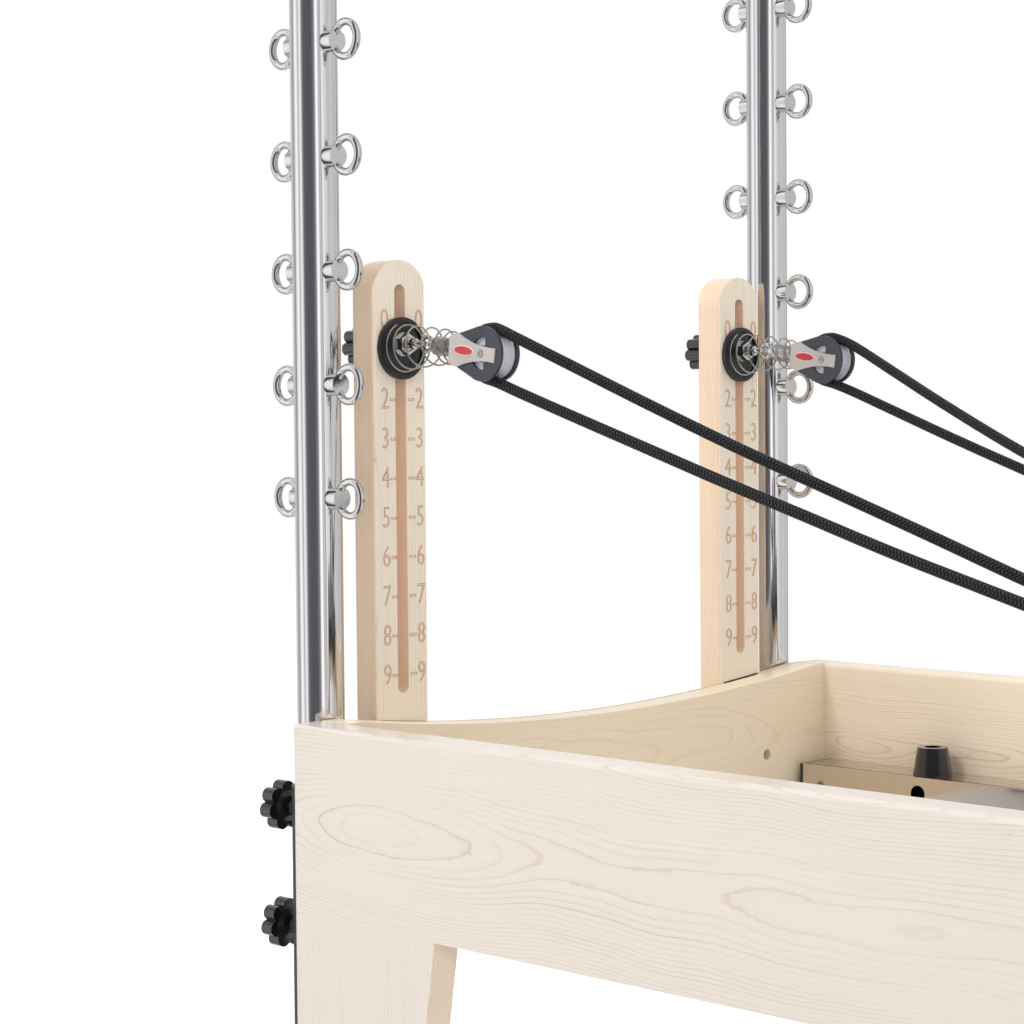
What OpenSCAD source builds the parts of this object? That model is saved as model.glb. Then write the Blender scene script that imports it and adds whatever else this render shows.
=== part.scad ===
// Reformer bed with a pilates tower: a maple frame, two ringed steel uprights, two slotted pulley
// risers with ropes, and a sprung carriage. Millimetres. +X runs from the head end to the foot end,
// +Y from the near side to the far side and +Z up. The origin is on the floor, under the middle.

/* [Bed] */
// Length of the side rails
bed_l = 2300; // [2240:10:2600]
// Width over the side rails
bed_w = 740; // [720:5:800]
// Height of the rail tops above the floor
rail_top = 400; // [370:5:560]
// Height of the rails and end panels
rail_h = 165; // [160:1:190]
// Thickness of the rails and end panels
board_t = 35; // [30:1:40]
// Rounding of the upper board edges
edge_r = 4.5; // [2:0.5:6]
// Dip in the middle of the head panel's top
panel_dip = 21.2; // [10:0.2:30]
// Width of a leg where it meets the rail
leg_w = 178; // [150:1:200]
// Thickness of a leg
leg_t = 28; // [24:1:30]
// How much a leg narrows for each millimetre it goes down
leg_taper = 0.155; // [0:0.005:0.3]
// Height of a leg's rubber foot
foot_h = 8; // [5:1:15]

/* [Tracks] */
// Width of a track
track_w = 52; // [44:1:56]
// Height of a track
track_h = 36; // [30:1:40]
// Wall of a track
track_wall = 3; // [2:0.5:4]
// Drop from the rail top to the track top
track_drop = 100; // [95:1:105]
// Distance from the head face to the track stops
stop_x = 192; // [150:1:220]

/* [Tower] */
// Outside diameter of the tower tube
tube_d = 42.4; // [40:0.1:45]
// Wall of the tower tube
tube_wall = 2.6; // [2:0.1:3.5]
// Distance from a rail's outer face to the upright's axis
upright_inset = 54.5; // [50:0.5:60]
// Height of the tower above the floor
tower_h = 1900; // [1500:10:2200]
// Bend radius of the tower's upper corners
corner_r = 100; // [80:5:150]
// Spacing of the eyebolts up an upright
ring_pitch = 100; // [80:1:110]
// Height of the lowest eyebolt above the rail top
first_ring = 194.5; // [150:0.5:220]
// Number of eyebolt levels on an upright
ring_levels = 7; // [5:1:8]

/* [Tower sockets] */
// Wall left between a socket's bore and the wood
socket_seat = 3.3; // [3:0.1:5]
// Wall of a socket
socket_wall = 5.6; // [4:0.1:7]
// Drop from the rail top to the socket's upper end
socket_top = 61; // [50:1:75]
// Length of a socket
socket_l = 270; // [240:1:300]
// Drop from the rail top to the upper clamp knob
upper_clamp = 85; // [80:1:95]
// Distance between the two clamp knobs of a socket
clamp_gap = 107; // [90:1:130]
// Diameter of a clamp knob over its lobes
clamp_d = 45; // [40:1:50]

/* [Risers] */
// Distance from the upright's axis to the riser's middle
riser_inset = 77; // [77:0.5:90]
// Width of a riser
riser_w = 64; // [56:1:66]
// Thickness of a riser
riser_t = 30; // [26:1:34]
// Height of a riser above the rail top
riser_up = 407; // [400:1:430]
// Depth of a riser below the rail top
riser_down = 150; // [140:1:158]
// Width of a riser's slot
slot_w = 13; // [12:0.5:16]
// Height of the slot's lower end above the rail top
slot_low = 16; // [12:1:20]
// Height of the slot's upper end above the rail top
slot_high = 385; // [380:1:390]

/* [Pulleys] */
// Height of the pulley stud above the rail top
stud_z = 331; // [300:1:345]
// Diameter of the pulley stud
stud_d = 10; // [8:0.5:11]
// Diameter of the guide disc on the riser's face
disc_d = 56; // [52:1:58]
// Thickness of the guide disc
disc_t = 4; // [3:0.5:6]
// Angle at which the pulley block droops
block_droop = 7.5; // [4:0.5:9]
// Distance from the link to the sheave's axle
block_reach = 86; // [84:1:90]
// Diameter of a block's cheeks
cheek_d = 48; // [46:1:50]
// Width over a block's cheeks
block_w = 23; // [21:0.5:25]
// Thickness of a cheek
cheek_t = 3; // [2:0.5:3.5]
// Diameter of a sheave
sheave_d = 43; // [42:0.5:44]
// Diameter of the rope
rope_d = 9.5; // [9:0.5:10]
// Wire diameter of a cone spring
cone_wire = 2; // [1.6:0.1:2.4]

/* [Carriage] */
// Distance from the head face to the carriage's head edge
carriage_x = 720; // [710:5:740]
// Length of the carriage deck
carriage_l = 900; // [880:10:940]
// Thickness of the carriage deck
deck_t = 18; // [15:1:20]
// Thickness of the carriage pad
pad_t = 50; // [40:1:60]
// Diameter of a carriage wheel
wheel_d = 50; // [46:1:52]
// Length of the headrest
headrest_l = 206; // [190:1:206]
// Width of the headrest
headrest_w = 240; // [200:1:260]
// Distance between the two shoulder posts
shoulder_gap = 203; // [190:1:220]
// Diameter of a carriage spring
spring_d = 26; // [20:1:30]

/* [Footbar] */
// Distance from the foot face to the footbar's pivot
footbar_back = 265; // [250:5:280]
// Height of the footbar above its pivot
footbar_h = 380; // [320:5:420]
// How far the footbar leans towards the foot
footbar_lean = 120; // [90:5:130]
// Diameter of the footbar tube
footbar_d = 28; // [25:1:30]
// Diameter of the footbar's grip
grip_d = 45; // [38:1:50]

/* [Hidden] */
$fn = 64;

// Clearances
slip = 0.2;
seat_gap = 0.3;
pin_fit = 0.05;
through = 1;

// Places along the bed
tube_r = tube_d / 2;
wood_gap = tube_r + slip + socket_seat;
socket_r = tube_r + slip + socket_wall;
boss_reach = socket_r + 9;
clamp_flange_t = 14;
clamp_hub_t = 3;
clamp_stand = 8;
clamp_back = boss_reach + clamp_stand + clamp_hub_t + clamp_flange_t;
upright_x = clamp_back - (clamp_back + wood_gap + bed_l) / 2;
head_x = upright_x + wood_gap;
foot_x = head_x + bed_l;
upright_y = bed_w / 2 - upright_inset;
inner_y = bed_w / 2 - board_t;
riser_y = upright_y - riser_inset;
track_y = inner_y - track_w / 2;
track_z = rail_top - track_drop;
track_cap_t = 4;
track_gap = 8;
track_x0 = head_x + board_t + track_gap + track_cap_t;
track_x1 = foot_x - board_t - track_gap - track_cap_t;

// Fasteners
dowel_d = 12;
dowel_l = 50;
panel_dowel_shift = 5;
panel_dowel_drops = [50, 124];
leg_dowel_reaches = [44, 132];
screw_d = 5;
screw_head_d = 9;
screw_head_h = 3;
bolt_d = 8;
bolt_head_d = 14;
bolt_head_h = 5;
insert_d = 11.5;
insert_l = 24;
riser_bolt_drops = [87, 130];
stop_bolt_d = 6;

// Tower
tower_bar_z = tower_h - tube_r;
upright_z0 = rail_top - socket_top - socket_l + 6;
upright_z1 = tower_bar_z - corner_r;
spigot_l = 45;
ring_heights = [for (i = [0 : ring_levels - 1]) rail_top + first_ring + i * ring_pitch];
bolt_ring_x = tube_r + 21.3;
nut_ring_x = tube_r + 20;
ring_wire = 7;
ring_d = 37;
shank_d = 8;
collar_d = 19.4;
collar_reach = 10.6;

// Track stops
stop_h = 28;
stop_base_d = 40;
stop_top_d = 31;
stop_hole_d = 17;
foot_stop_x = 1850;
track_hole_d = 17;
track_hole_drop = 17;
groove_inset = 6;
groove_w = 2;
groove_t = 1;

// Carriage
wheel_w = 20;
axle_d = 10;
wheel_inset = 60;
axle_z = track_z + wheel_d / 2;
deck_z = rail_top - 45;
deck_side_gap = 17;
deck_w = 2 * (inner_y - deck_side_gap);
pad_z = deck_z + deck_t;
bracket_t = 5;
bracket_w = 60;
bracket_down = 15;
hook_l = 12;
hook_t = 8;
hook_down = 6;
bracket_y = track_y - wheel_w / 2 - 5 - bracket_t;
post_inset = 117;
post_x = head_x + carriage_x + post_inset;
post_d = 16;
pad_crown = 5;
carriage_pad_r = 30;
headrest_r = 45;
headrest_board_t = 8;
headrest_x1 = post_x - 24;
hinge_d = 10;
hinge_pin_d = 5;
hinge_half = 50;
hinge_x = headrest_x1 + hinge_d / 2 + 1;
hinge_z = pad_z + seat_gap + hinge_d / 2;
shoulder_w = 112;
shoulder_t = 45;
shoulder_r = 24;
shoulder_low = 96;
shoulder_l = 104;
post_h = shoulder_low + shoulder_l - 16;
spring_ys = [-150, -50, 50, 150];
spring_z = rail_top - 62;
spring_bar_x = foot_x - 80;
spring_l = 540;

// Footbar
footbar_x = foot_x - footbar_back;
footbar_z = rail_top - 50;
footbar_y = inner_y - 4 - footbar_d / 2;
footbar_corner_r = 60;
pin_depth = 14;
boss_half = footbar_d / 2 + 1;

// Pulley carrier, from the riser's front face
disc_drop = 3.5;
nut_flats = 17;
nut_t = 8;
link_x = 31.4;
eye_r = 6.5;
eye_wire = 4.4;
link_play = 0.4;
link_shift = eye_r - (eye_wire + link_play) / 2;
stud_y = upright_y - riser_inset;
yoke_end = 46;
tongue_half = 10;
sheave_fit = 0.05;
sheave_bore = 8;

// The near rope's route: inboard of the upright's axis and above the rail top, from its cleat on the
// carriage, under, round and over the sheave, and back to the hand loop
rope_route = [
  [852, 141, 62], [780, 134, 84], [700, 127, 109], [620, 119, 134], [540, 112, 159], [460, 105, 186],
  [380, 98, 213], [300, 91, 241], [230, 83, 266], [176, 77.5, 285.5], [150, 77, 294.5], [135, 77, 298.5],
  [126.5, 77, 303], [121, 77, 310.5], [119, 77, 319.5], [121, 77, 329], [126.5, 77, 336.5],
  [134.5, 77, 341], [143, 77, 342], [151, 77, 341], [174, 77.5, 332], [230, 90, 306],
  [300, 106, 273.5], [380, 123, 238], [460, 139, 205], [540, 155, 172], [620, 170.5, 138.5],
  [662, 178.2, 122.5]];
rope_sides = 8;

// The hand loop runs from the rope's end to the shoulder post
loop_w = 25;
loop_t = 3;
loop_start = [685, 182.3, 113.8];
loop_post_z = 46;
loop_slack = 4;
sleeve_l = 30;
sleeve_d = 15;
rope_play = 0.6;

// Colours
maple = "burlywood";
birch = "#d8c19c";
chrome = "silver";
steel = "lightgray";
black = "#1c1c1e";
slate = "#46474f";
upholstery = "#3a3f47";

// A child as it stands on the near side, or mirrored to the far side
module on_side(side) {
  if (side == "near") children();
  else mirror([0, 1, 0]) children();
}

// A child placed from a near upright's axis at the rail top, with +Y inboard
module at_upright() {
  translate([upright_x, -upright_y, rail_top]) children();
}

// A rod along X, from x0 to x1
module rod_x(x0, x1, d) {
  translate([x0, 0, 0]) rotate([0, 90, 0]) cylinder(d = d, h = x1 - x0);
}

// A rod along Y, from y0 to y1
module rod_y(y0, y1, d) {
  translate([0, y1, 0]) rotate([90, 0, 0]) cylinder(d = d, h = y1 - y0);
}

// A rectangle with all corners rounded
module round_rect(w, h, r) {
  translate([r, 0]) square([w - 2 * r, h]);
  translate([0, r]) square([w, h - 2 * r]);
  for (x = [r, w - r], y = [r, h - r]) translate([x, y]) circle(r);
}

// A rectangle with only its two upper corners rounded
module top_round_rect(w, h, r) {
  square([w, h - r]);
  translate([r, 0]) square([w - 2 * r, h]);
  for (x = [r, w - r]) translate([x, h - r]) circle(r);
}

// A stadium outline along X, with its end circles centred at 0 and at l
module stadium(l, d) {
  translate([0, -d / 2]) square([l, d]);
  for (x = [0, l]) translate([x, 0]) circle(d = d);
}

// A board on edge along X with rounded top edges and rounded corners in plan
module rail_board(l, w, h, r) {
  intersection() {
    rotate([90, 0, 90]) linear_extrude(l) top_round_rect(w, h, r);
    linear_extrude(h) round_rect(l, w, r);
  }
}

function unit(v) = v / norm(v);
function heading(path, i) = unit(path[min(i + 1, len(path) - 1)] - path[max(i - 1, 0)]);
function tube_ring(centre, along, ref, r, n) =
  let (w = unit(ref - (ref * along) * along), v = cross(w, along))
  [for (k = [0 : n - 1]) centre + r * (cos(360 * k / n) * v + sin(360 * k / n) * w)];

// One unbroken tube swept along a path, with a reference direction for each of its points
module swept_tube(path, refs, d, n) {
  last = (len(path) - 1) * n;
  points = [for (i = [0 : len(path) - 1]) each tube_ring(path[i], heading(path, i), refs[i], d / 2, n)];
  walls = [for (i = [0 : len(path) - 2], k = [0 : n - 1])
    let (a = i * n + k, b = i * n + (k + 1) % n)
    each [[a, a + n, b], [b, a + n, b + n]]];
  ends = [for (k = [1 : n - 2]) each [[0, k, k + 1], [last, last + k + 1, last + k]]];
  polyhedron(points, concat(walls, ends));
}

// The bores that the frame's dowels sit in, or the dowels themselves
module dowel_set(d) {
  for (side = ["near", "far"], end = [0, 1]) on_side(side) {
    x_panel = end == 0 ? head_x + board_t / 2 : foot_x - board_t / 2;
    for (drop = panel_dowel_drops)
      translate([x_panel, -inner_y + panel_dowel_shift, rail_top - drop])
        rod_y(-dowel_l / 2, dowel_l / 2, d);
    for (reach = leg_dowel_reaches)
      translate([end == 0 ? head_x + reach : foot_x - reach, -bed_w / 2 + leg_t / 2,
        rail_top - rail_h - dowel_l / 2]) cylinder(d = d, h = dowel_l);
  }
}

// Where each track is screwed to its rail, from the head face
track_screw_xs = [for (i = [0 : 4]) stop_x + i * (bed_l - 2 * stop_x) / 4];

// Socket screws: height below the rail top and whether the inboard ear has wood behind it
socket_screws = [[socket_top + 50, true], [socket_top + 90, true],
  [rail_h + 40, false], [socket_top + socket_l - 20, false]];
ear_reach = 38;
ear_w = 44;

module screws_into_wood(d, head) {
  for (side = ["near", "far"]) on_side(side) {
    for (s = socket_screws, y = s[1] ? [-ear_reach, ear_reach] : [-ear_reach])
      at_upright() translate([0, y, -s[0]]) {
        rod_x(wood_gap - socket_seat, wood_gap + 25, d);
        if (head) rod_x(wood_gap - socket_seat - screw_head_h, wood_gap - socket_seat, screw_head_d);
      }
    for (x = track_screw_xs)
      translate([head_x + x, 0, track_z - track_hole_drop]) {
        rod_y(-inner_y - 20, -inner_y + track_wall, d);
        if (head) rod_y(-inner_y + track_wall, -inner_y + track_wall + screw_head_h, screw_head_d);
      }
  }
}

module side_rail(side) {
  color(maple) on_side(side) difference() {
    translate([head_x, -bed_w / 2, rail_top - rail_h]) rail_board(bed_l, board_t, rail_h, edge_r);
    dowel_set(dowel_d + 2 * pin_fit);
    screws_into_wood(screw_d + 2 * pin_fit, false);
    for (pin = [[footbar_x, footbar_z], [spring_bar_x, spring_z]])
      translate([pin[0], -inner_y, pin[1]]) rod_y(-pin_depth - through, through, axle_d + 2 * pin_fit);
  }
}

module near_side_rail() side_rail("near");
module far_side_rail() side_rail("far");

// An arc whose ends are level with the rail tops hollows the head panel's top
module head_panel() {
  half_chord = inner_y - 16;
  arc_r = (half_chord * half_chord + panel_dip * panel_dip) / (2 * panel_dip);
  color(maple) difference() {
    translate([head_x, -inner_y, rail_top - rail_h]) cube([board_t, 2 * inner_y, rail_h]);
    translate([head_x - through, 0, rail_top - panel_dip + arc_r])
      rotate([0, 90, 0]) cylinder(r = arc_r, h = board_t + 2 * through, $fn = 360);
    for (side = ["near", "far"], drop = riser_bolt_drops) on_side(side)
      translate([head_x, -riser_y, rail_top - drop])
        rod_x(-through, board_t + through, insert_d + 2 * pin_fit);
    dowel_set(dowel_d + 2 * pin_fit);
    screws_into_wood(screw_d + 2 * pin_fit, false);
  }
}

module foot_panel() {
  color(maple) difference() {
    translate([foot_x - board_t, -inner_y, rail_top - rail_h]) cube([board_t, 2 * inner_y, rail_h]);
    dowel_set(dowel_d + 2 * pin_fit);
  }
}

// One tapered leg under the near rail, with its outer face flush and its straight edge at x = 0
module leg_blank() {
  leg_h = rail_top - rail_h - foot_h;
  low_w = leg_w - leg_taper * leg_h;
  intersection() {
    translate([0, leg_t, foot_h]) rotate([90, 0, 0]) linear_extrude(leg_t)
      polygon([[0, 0], [low_w, 0], [leg_w, leg_h], [0, leg_h]]);
    linear_extrude(rail_top) round_rect(leg_w + 2 * edge_r, leg_t + 2 * edge_r, edge_r);
  }
}

module head_legs() {
  color(maple) for (side = ["near", "far"]) on_side(side) difference() {
    translate([head_x, -bed_w / 2, 0]) leg_blank();
    dowel_set(dowel_d + 2 * pin_fit);
    screws_into_wood(screw_d + 2 * pin_fit, false);
  }
}

module foot_legs() {
  color(maple) for (side = ["near", "far"]) on_side(side) difference() {
    translate([foot_x, -bed_w / 2, 0]) mirror([1, 0, 0]) leg_blank();
    dowel_set(dowel_d + 2 * pin_fit);
  }
}

// Two round rubber feet under each leg
module leg_feet() {
  foot_d = leg_t - 4;
  low_w = leg_w - leg_taper * (rail_top - rail_h);
  color(black) for (side = ["near", "far"], end = [-1, 1], reach = [0.2, 0.8]) on_side(side)
    translate([end < 0 ? head_x + low_w * reach : foot_x - low_w * reach, -bed_w / 2 + leg_t / 2, 0])
      cylinder(d1 = foot_d - 4, d2 = foot_d, h = foot_h);
}

module frame_dowels() color("tan") dowel_set(dowel_d);

// A hollow track with a shallow groove along the inner edge of its top and round access holes
module track(side) {
  color("gainsboro") on_side(side) difference() {
    translate([track_x0, -inner_y, track_z - track_h]) cube([track_x1 - track_x0, track_w, track_h]);
    translate([track_x0 - through, -inner_y + track_wall, track_z - track_h + track_wall])
      cube([track_x1 - track_x0 + 2 * through, track_w - 2 * track_wall, track_h - 2 * track_wall]);
    translate([track_x0 - through, -inner_y + track_w - groove_inset, track_z - groove_t])
      cube([track_x1 - track_x0 + 2 * through, groove_w, groove_t + through]);
    for (x = track_screw_xs) translate([head_x + x, 0, track_z - track_hole_drop]) {
      rod_y(-inner_y + track_w - track_wall - through, -inner_y + track_w + through, track_hole_d);
      rod_y(-inner_y - through, -inner_y + track_wall + through, screw_d + 2 * pin_fit);
    }
    for (x = [stop_x, foot_stop_x])
      translate([head_x + x, -track_y, track_z - track_wall - through])
        cylinder(d = stop_bolt_d + 2 * pin_fit, h = track_wall + 2 * through);
  }
}

module near_track() track("near");
module far_track() track("far");

module track_end_caps() {
  plug_l = 15;
  color(black) for (side = ["near", "far"]) on_side(side)
    for (x = [track_x0, track_x1]) translate([x, -inner_y, track_z - track_h]) mirror([x > 0 ? 1 : 0, 0, 0]) {
      translate([-track_cap_t, 0, 0]) cube([track_cap_t, track_w, track_h]);
      translate([-through, track_wall + slip, track_wall + slip])
        cube([plug_l, track_w - 2 * track_wall - 2 * slip, track_h - 2 * track_wall - 2 * slip]);
    }
}

// Tapered rubber stops with a sunk bolt hole, one at each end of each track
module track_stops() {
  color(black) for (side = ["near", "far"], x = [stop_x, foot_stop_x]) on_side(side)
    translate([head_x + x, -track_y, track_z]) difference() {
      cylinder(d1 = stop_base_d, d2 = stop_top_d, h = stop_h);
      translate([0, 0, 6]) cylinder(d = stop_hole_d, h = stop_h);
      translate([0, 0, -through]) cylinder(d = stop_bolt_d + 2 * pin_fit, h = stop_h);
    }
}

// A steel sleeve, flat against the wood, with screw ears, two threaded bosses and a closed bottom
module tower_socket(side) {
  color("dimgray") on_side(side) at_upright() difference() {
    union() {
      intersection() {
        translate([0, 0, -socket_top - socket_l]) cylinder(r = socket_r, h = socket_l);
        translate([-socket_r, -socket_r, -socket_top - socket_l])
          cube([socket_r + wood_gap, 2 * socket_r, socket_l]);
      }
      translate([wood_gap - socket_seat, -ear_w, -socket_top - socket_l])
        cube([socket_seat, 2 * ear_w, socket_l]);
      for (drop = [upper_clamp, upper_clamp + clamp_gap])
        translate([0, 0, -drop]) rod_x(-boss_reach, -tube_r, 18);
    }
    translate([0, 0, upright_z0 - rail_top]) cylinder(r = tube_r + slip, h = socket_l);
    for (drop = [upper_clamp, upper_clamp + clamp_gap])
      translate([0, 0, -drop]) rod_x(-boss_reach - through, 0, shank_d + 2 * pin_fit);
    for (s = socket_screws, y = s[1] ? [-ear_reach, ear_reach] : [-ear_reach])
      translate([wood_gap, y, -s[0]]) rod_x(-socket_seat - through, through, screw_d + 2 * pin_fit);
  }
}

module near_tower_socket() tower_socket("near");
module far_tower_socket() tower_socket("far");

module frame_screws() {
  color(steel) {
    screws_into_wood(screw_d, true);
    for (side = ["near", "far"], x = [stop_x, foot_stop_x]) on_side(side)
      translate([head_x + x, -track_y, track_z]) {
        translate([0, 0, -track_wall - 4]) cylinder(d = stop_bolt_d, h = track_wall + 10);
        translate([0, 0, 6]) cylinder(d = 11, h = 4);
      }
  }
}

// A slotted post with a full-round top, bolted to the head panel's outer face
module riser(side) {
  straight = riser_up + riser_down - riser_w / 2;
  color(maple) on_side(side) difference() {
    intersection() {
      translate([head_x - riser_t, -riser_y, rail_top - riser_down])
        rotate([90, 0, 90]) linear_extrude(riser_t) {
          translate([-riser_w / 2, 0]) square([riser_w, straight]);
          translate([0, straight]) circle(d = riser_w);
        }
      translate([head_x - riser_t, -riser_y - riser_w / 2, 0])
        linear_extrude(tower_h) round_rect(riser_t, riser_w, edge_r);
    }
    translate([head_x - riser_t - through, -riser_y, rail_top + slot_low + slot_w / 2])
      rotate([0, -90, 180]) linear_extrude(riser_t + 2 * through)
        stadium(slot_high - slot_low - slot_w, slot_w);
    for (drop = riser_bolt_drops) translate([head_x, -riser_y, rail_top - drop]) {
      rod_x(-riser_t - through, through, bolt_d + 2 * pin_fit);
    }
  }
}

module near_riser() riser("near");
module far_riser() riser("far");

// Button-head bolts through each riser, in threaded inserts in the panel
module riser_bolts() {
  color(steel) for (side = ["near", "far"], drop = riser_bolt_drops) on_side(side)
    translate([head_x, -riser_y, rail_top - drop]) {
      rod_x(-riser_t, 20, bolt_d);
      rod_x(-riser_t - bolt_head_h, -riser_t, bolt_head_d);
      difference() {
        rod_x(0, insert_l, insert_d);
        rod_x(-through, insert_l + through, bolt_d + 2 * pin_fit);
      }
    }
}

module upright(side) {
  color(chrome) on_side(side) difference() {
    translate([upright_x, -upright_y, upright_z0]) cylinder(d = tube_d, h = upright_z1 - upright_z0);
    translate([upright_x, -upright_y, upright_z0 - through])
      cylinder(d = tube_d - 2 * tube_wall, h = upright_z1 - upright_z0 + 2 * through);
    for (z = ring_heights)
      translate([upright_x, -upright_y, z]) rod_x(-tube_d, tube_d, shank_d + 2 * pin_fit);
  }
}

module near_upright() upright("near");
module far_upright() upright("far");

// A rod that bends from upright, at y0, to level along Y, up to the middle
module bent_rod(y0, z0, z1, r, d) {
  translate([0, y0, z0]) cylinder(d = d, h = z1 - r - z0);
  translate([0, y0 + r, z1 - r]) rotate([90, 0, 90])
    rotate_extrude(angle = 90, start = 90) translate([r, 0]) circle(d = d);
  translate([0, 0, z1]) rod_y(y0 + r, 0, d);
}

// The upper bar with its two bent corners, each with a spigot down into its upright
module tower_crossbar() {
  bore = tube_d - 2 * tube_wall;
  weld = 8;
  color(chrome) for (side = ["near", "far"]) on_side(side) translate([upright_x, 0, 0]) {
    difference() {
      bent_rod(-upright_y, upright_z1, tower_bar_z, corner_r, tube_d);
      bent_rod(-upright_y, upright_z1 - through, tower_bar_z, corner_r, bore);
    }
    translate([0, -upright_y, upright_z1 - spigot_l]) difference() {
      union() {
        cylinder(d = bore - 2 * pin_fit, h = spigot_l + weld);
        translate([0, 0, spigot_l + through]) cylinder(d = bore + 1, h = weld - through);
      }
      translate([0, 0, -through]) cylinder(d = bore - 2 * tube_wall, h = spigot_l + weld + 2 * through);
    }
  }
}

// One ring along +X from the tube's side, with its collar, whose flat end reaches into the ring
module ring_end(ring_x) {
  translate([ring_x, 0, 0]) rotate([90, 0, 0])
    rotate_extrude() translate([(ring_d - ring_wire) / 2, 0]) circle(d = ring_wire);
  difference() {
    rod_x(tube_r - 2, ring_x - collar_reach, collar_d);
    translate([0, 0, -collar_d]) cylinder(r = tube_r, h = 2 * collar_d);
  }
}

// Eyebolts from the foot side, screwed through the upright into eye nuts on the head side
module eyebolts(side) {
  nut_depth = 6;
  color(steel) on_side(side) for (z = ring_heights) translate([upright_x, -upright_y, z]) {
    ring_end(bolt_ring_x);
    rod_x(-tube_r - nut_depth + seat_gap, tube_r, shank_d);
    difference() {
      mirror([1, 0, 0]) ring_end(nut_ring_x);
      rod_x(-tube_r - nut_depth, 0, shank_d + 2 * pin_fit);
    }
  }
}

module near_eyebolts() eyebolts("near");
module far_eyebolts() eyebolts("far");

// The outline of a star knob
module star(d, lobes, lobe_d) {
  circle(d = d - lobe_d * 0.9);
  for (i = [0 : lobes - 1]) rotate(i * 360 / lobes) translate([(d - lobe_d) / 2, 0]) circle(d = lobe_d);
}

// A star knob whose stud presses on the upright through the socket's boss
module clamp_knob(side, drop) {
  lobes = 7;
  flange_x = -boss_reach - clamp_stand - clamp_hub_t;
  color(black) on_side(side) at_upright() translate([0, 0, -drop]) {
    translate([flange_x, 0, 0]) rotate([0, -90, 0]) linear_extrude(clamp_flange_t) star(clamp_d, lobes, 14);
    translate([flange_x, 0, 0]) rotate([0, 90, 0]) cylinder(d1 = 28, d2 = 18, h = clamp_hub_t);
    rod_x(flange_x - through, -tube_r - seat_gap, shank_d);
  }
}

module near_upper_clamp_knob() clamp_knob("near", upper_clamp);
module near_lower_clamp_knob() clamp_knob("near", upper_clamp + clamp_gap);
module far_upper_clamp_knob() clamp_knob("far", upper_clamp);
module far_lower_clamp_knob() clamp_knob("far", upper_clamp + clamp_gap);

// A child placed on the pulley stud's axis at the riser's front face
module at_stud() {
  translate([head_x, -stud_y, rail_top + stud_z]) children();
}

// A child placed in the drooping pulley block, from the link's contact point along the block
module at_block() {
  at_stud() translate([link_x, 0, 0]) rotate([0, block_droop, 0]) children();
}

// A dished washer that hangs on the stud, in front of the riser's slot, with a hole for the spring's end
module guide_disc(side) {
  rim = 4;
  wire_hole = [-16, 5];
  wire_hole_d = 4;
  color(black) on_side(side) at_stud() difference() {
    translate([0, 0, -disc_drop]) rod_x(seat_gap, seat_gap + disc_t, disc_d);
    translate([0, 0, -disc_drop]) rod_x(seat_gap + disc_t / 2, disc_t + through, disc_d - 2 * rim);
    rod_x(-through, disc_t + through, stud_d + 2 * disc_drop);
    translate([0, wire_hole[0], wire_hole[1]]) rod_x(-through, disc_t + through, wire_hole_d);
  }
}

module near_guide_disc() guide_disc("near");
module far_guide_disc() guide_disc("far");

// The stud with its guide collar in the slot, its washer and hex nut, and an eye that lies flat
module pulley_stud(side) {
  collar_t = riser_t - 6;
  washer_t = 1.6;
  washer_x = seat_gap + disc_t / 2;
  nut_x = washer_x + washer_t;
  eye_x = link_x - link_shift;
  color(steel) on_side(side) at_stud() {
    rod_x(-riser_t - 18, eye_x - eye_r, stud_d);
    rod_x(-collar_t - 3, -3, slot_w - 2 * pin_fit);
    rod_x(washer_x, nut_x, 21);
    translate([nut_x, 0, 0]) rotate([0, 90, 0]) cylinder(d = nut_flats / cos(30), h = nut_t, $fn = 6);
    translate([nut_x + nut_t, 0, 0]) rotate([0, 90, 0]) cylinder(d1 = stud_d + 4, d2 = stud_d, h = 4);
    translate([eye_x, 0, 0]) rotate_extrude() translate([eye_r, 0]) circle(d = eye_wire);
  }
}

module near_pulley_stud() pulley_stud("near");
module far_pulley_stud() pulley_stud("far");

// A small star knob that tightens the stud against the riser's back
module height_knob(side) {
  knob_d = 38;
  flange_t = 20;
  hub_t = 8;
  color(black) on_side(side) at_stud() translate([-riser_t - seat_gap, 0, 0]) difference() {
    union() {
      rod_x(-hub_t, 0, 24);
      translate([-hub_t, 0, 0]) rotate([0, -90, 0]) linear_extrude(flange_t) star(knob_d, 7, 12);
    }
    rod_x(-18, through, stud_d + 2 * pin_fit);
  }
}

module near_height_knob() height_knob("near");
module far_height_knob() height_knob("far");

// The conical spring that holds the pulley block up: close turns at the disc, open turns beyond
cone_turns = 5.5;
cone_steps = 8;
cone_r0 = 22.6;
cone_phase = 110;
cone_r1 = 13.5;
cone_x0 = seat_gap + disc_t / 2 + 3;
cone_l = 66;
function cone_point(t) =
  let (a = 360 * cone_turns * t + cone_phase, r = cone_r0 + (cone_r1 - cone_r0) * pow(t, 0.8))
  [cone_x0 + cone_l * (t - 0.1 * sin(360 * t)), r * cos(a), -disc_drop * (1 - t) - 5.5 * t * t + r * sin(a)];
function cone_ref(t) = let (a = 360 * cone_turns * t + cone_phase) [0, cos(a), sin(a)];
cone_count = cone_turns * cone_steps;
cone_path = concat([cone_point(0) - [3, 0, 0]], [for (i = [0 : cone_count]) cone_point(i / cone_count)],
  [cone_point(1) + [3, 0, 0]]);
cone_refs = concat([cone_ref(0)], [for (i = [0 : cone_count]) cone_ref(i / cone_count)], [cone_ref(1)]);
cone_gap = min([for (i = [0 : cone_count], j = [0 : cone_count]) if (j - i >= cone_steps / 2)
  norm(cone_point(i / cone_count) - cone_point(j / cone_count)) - cone_wire]);
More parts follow.
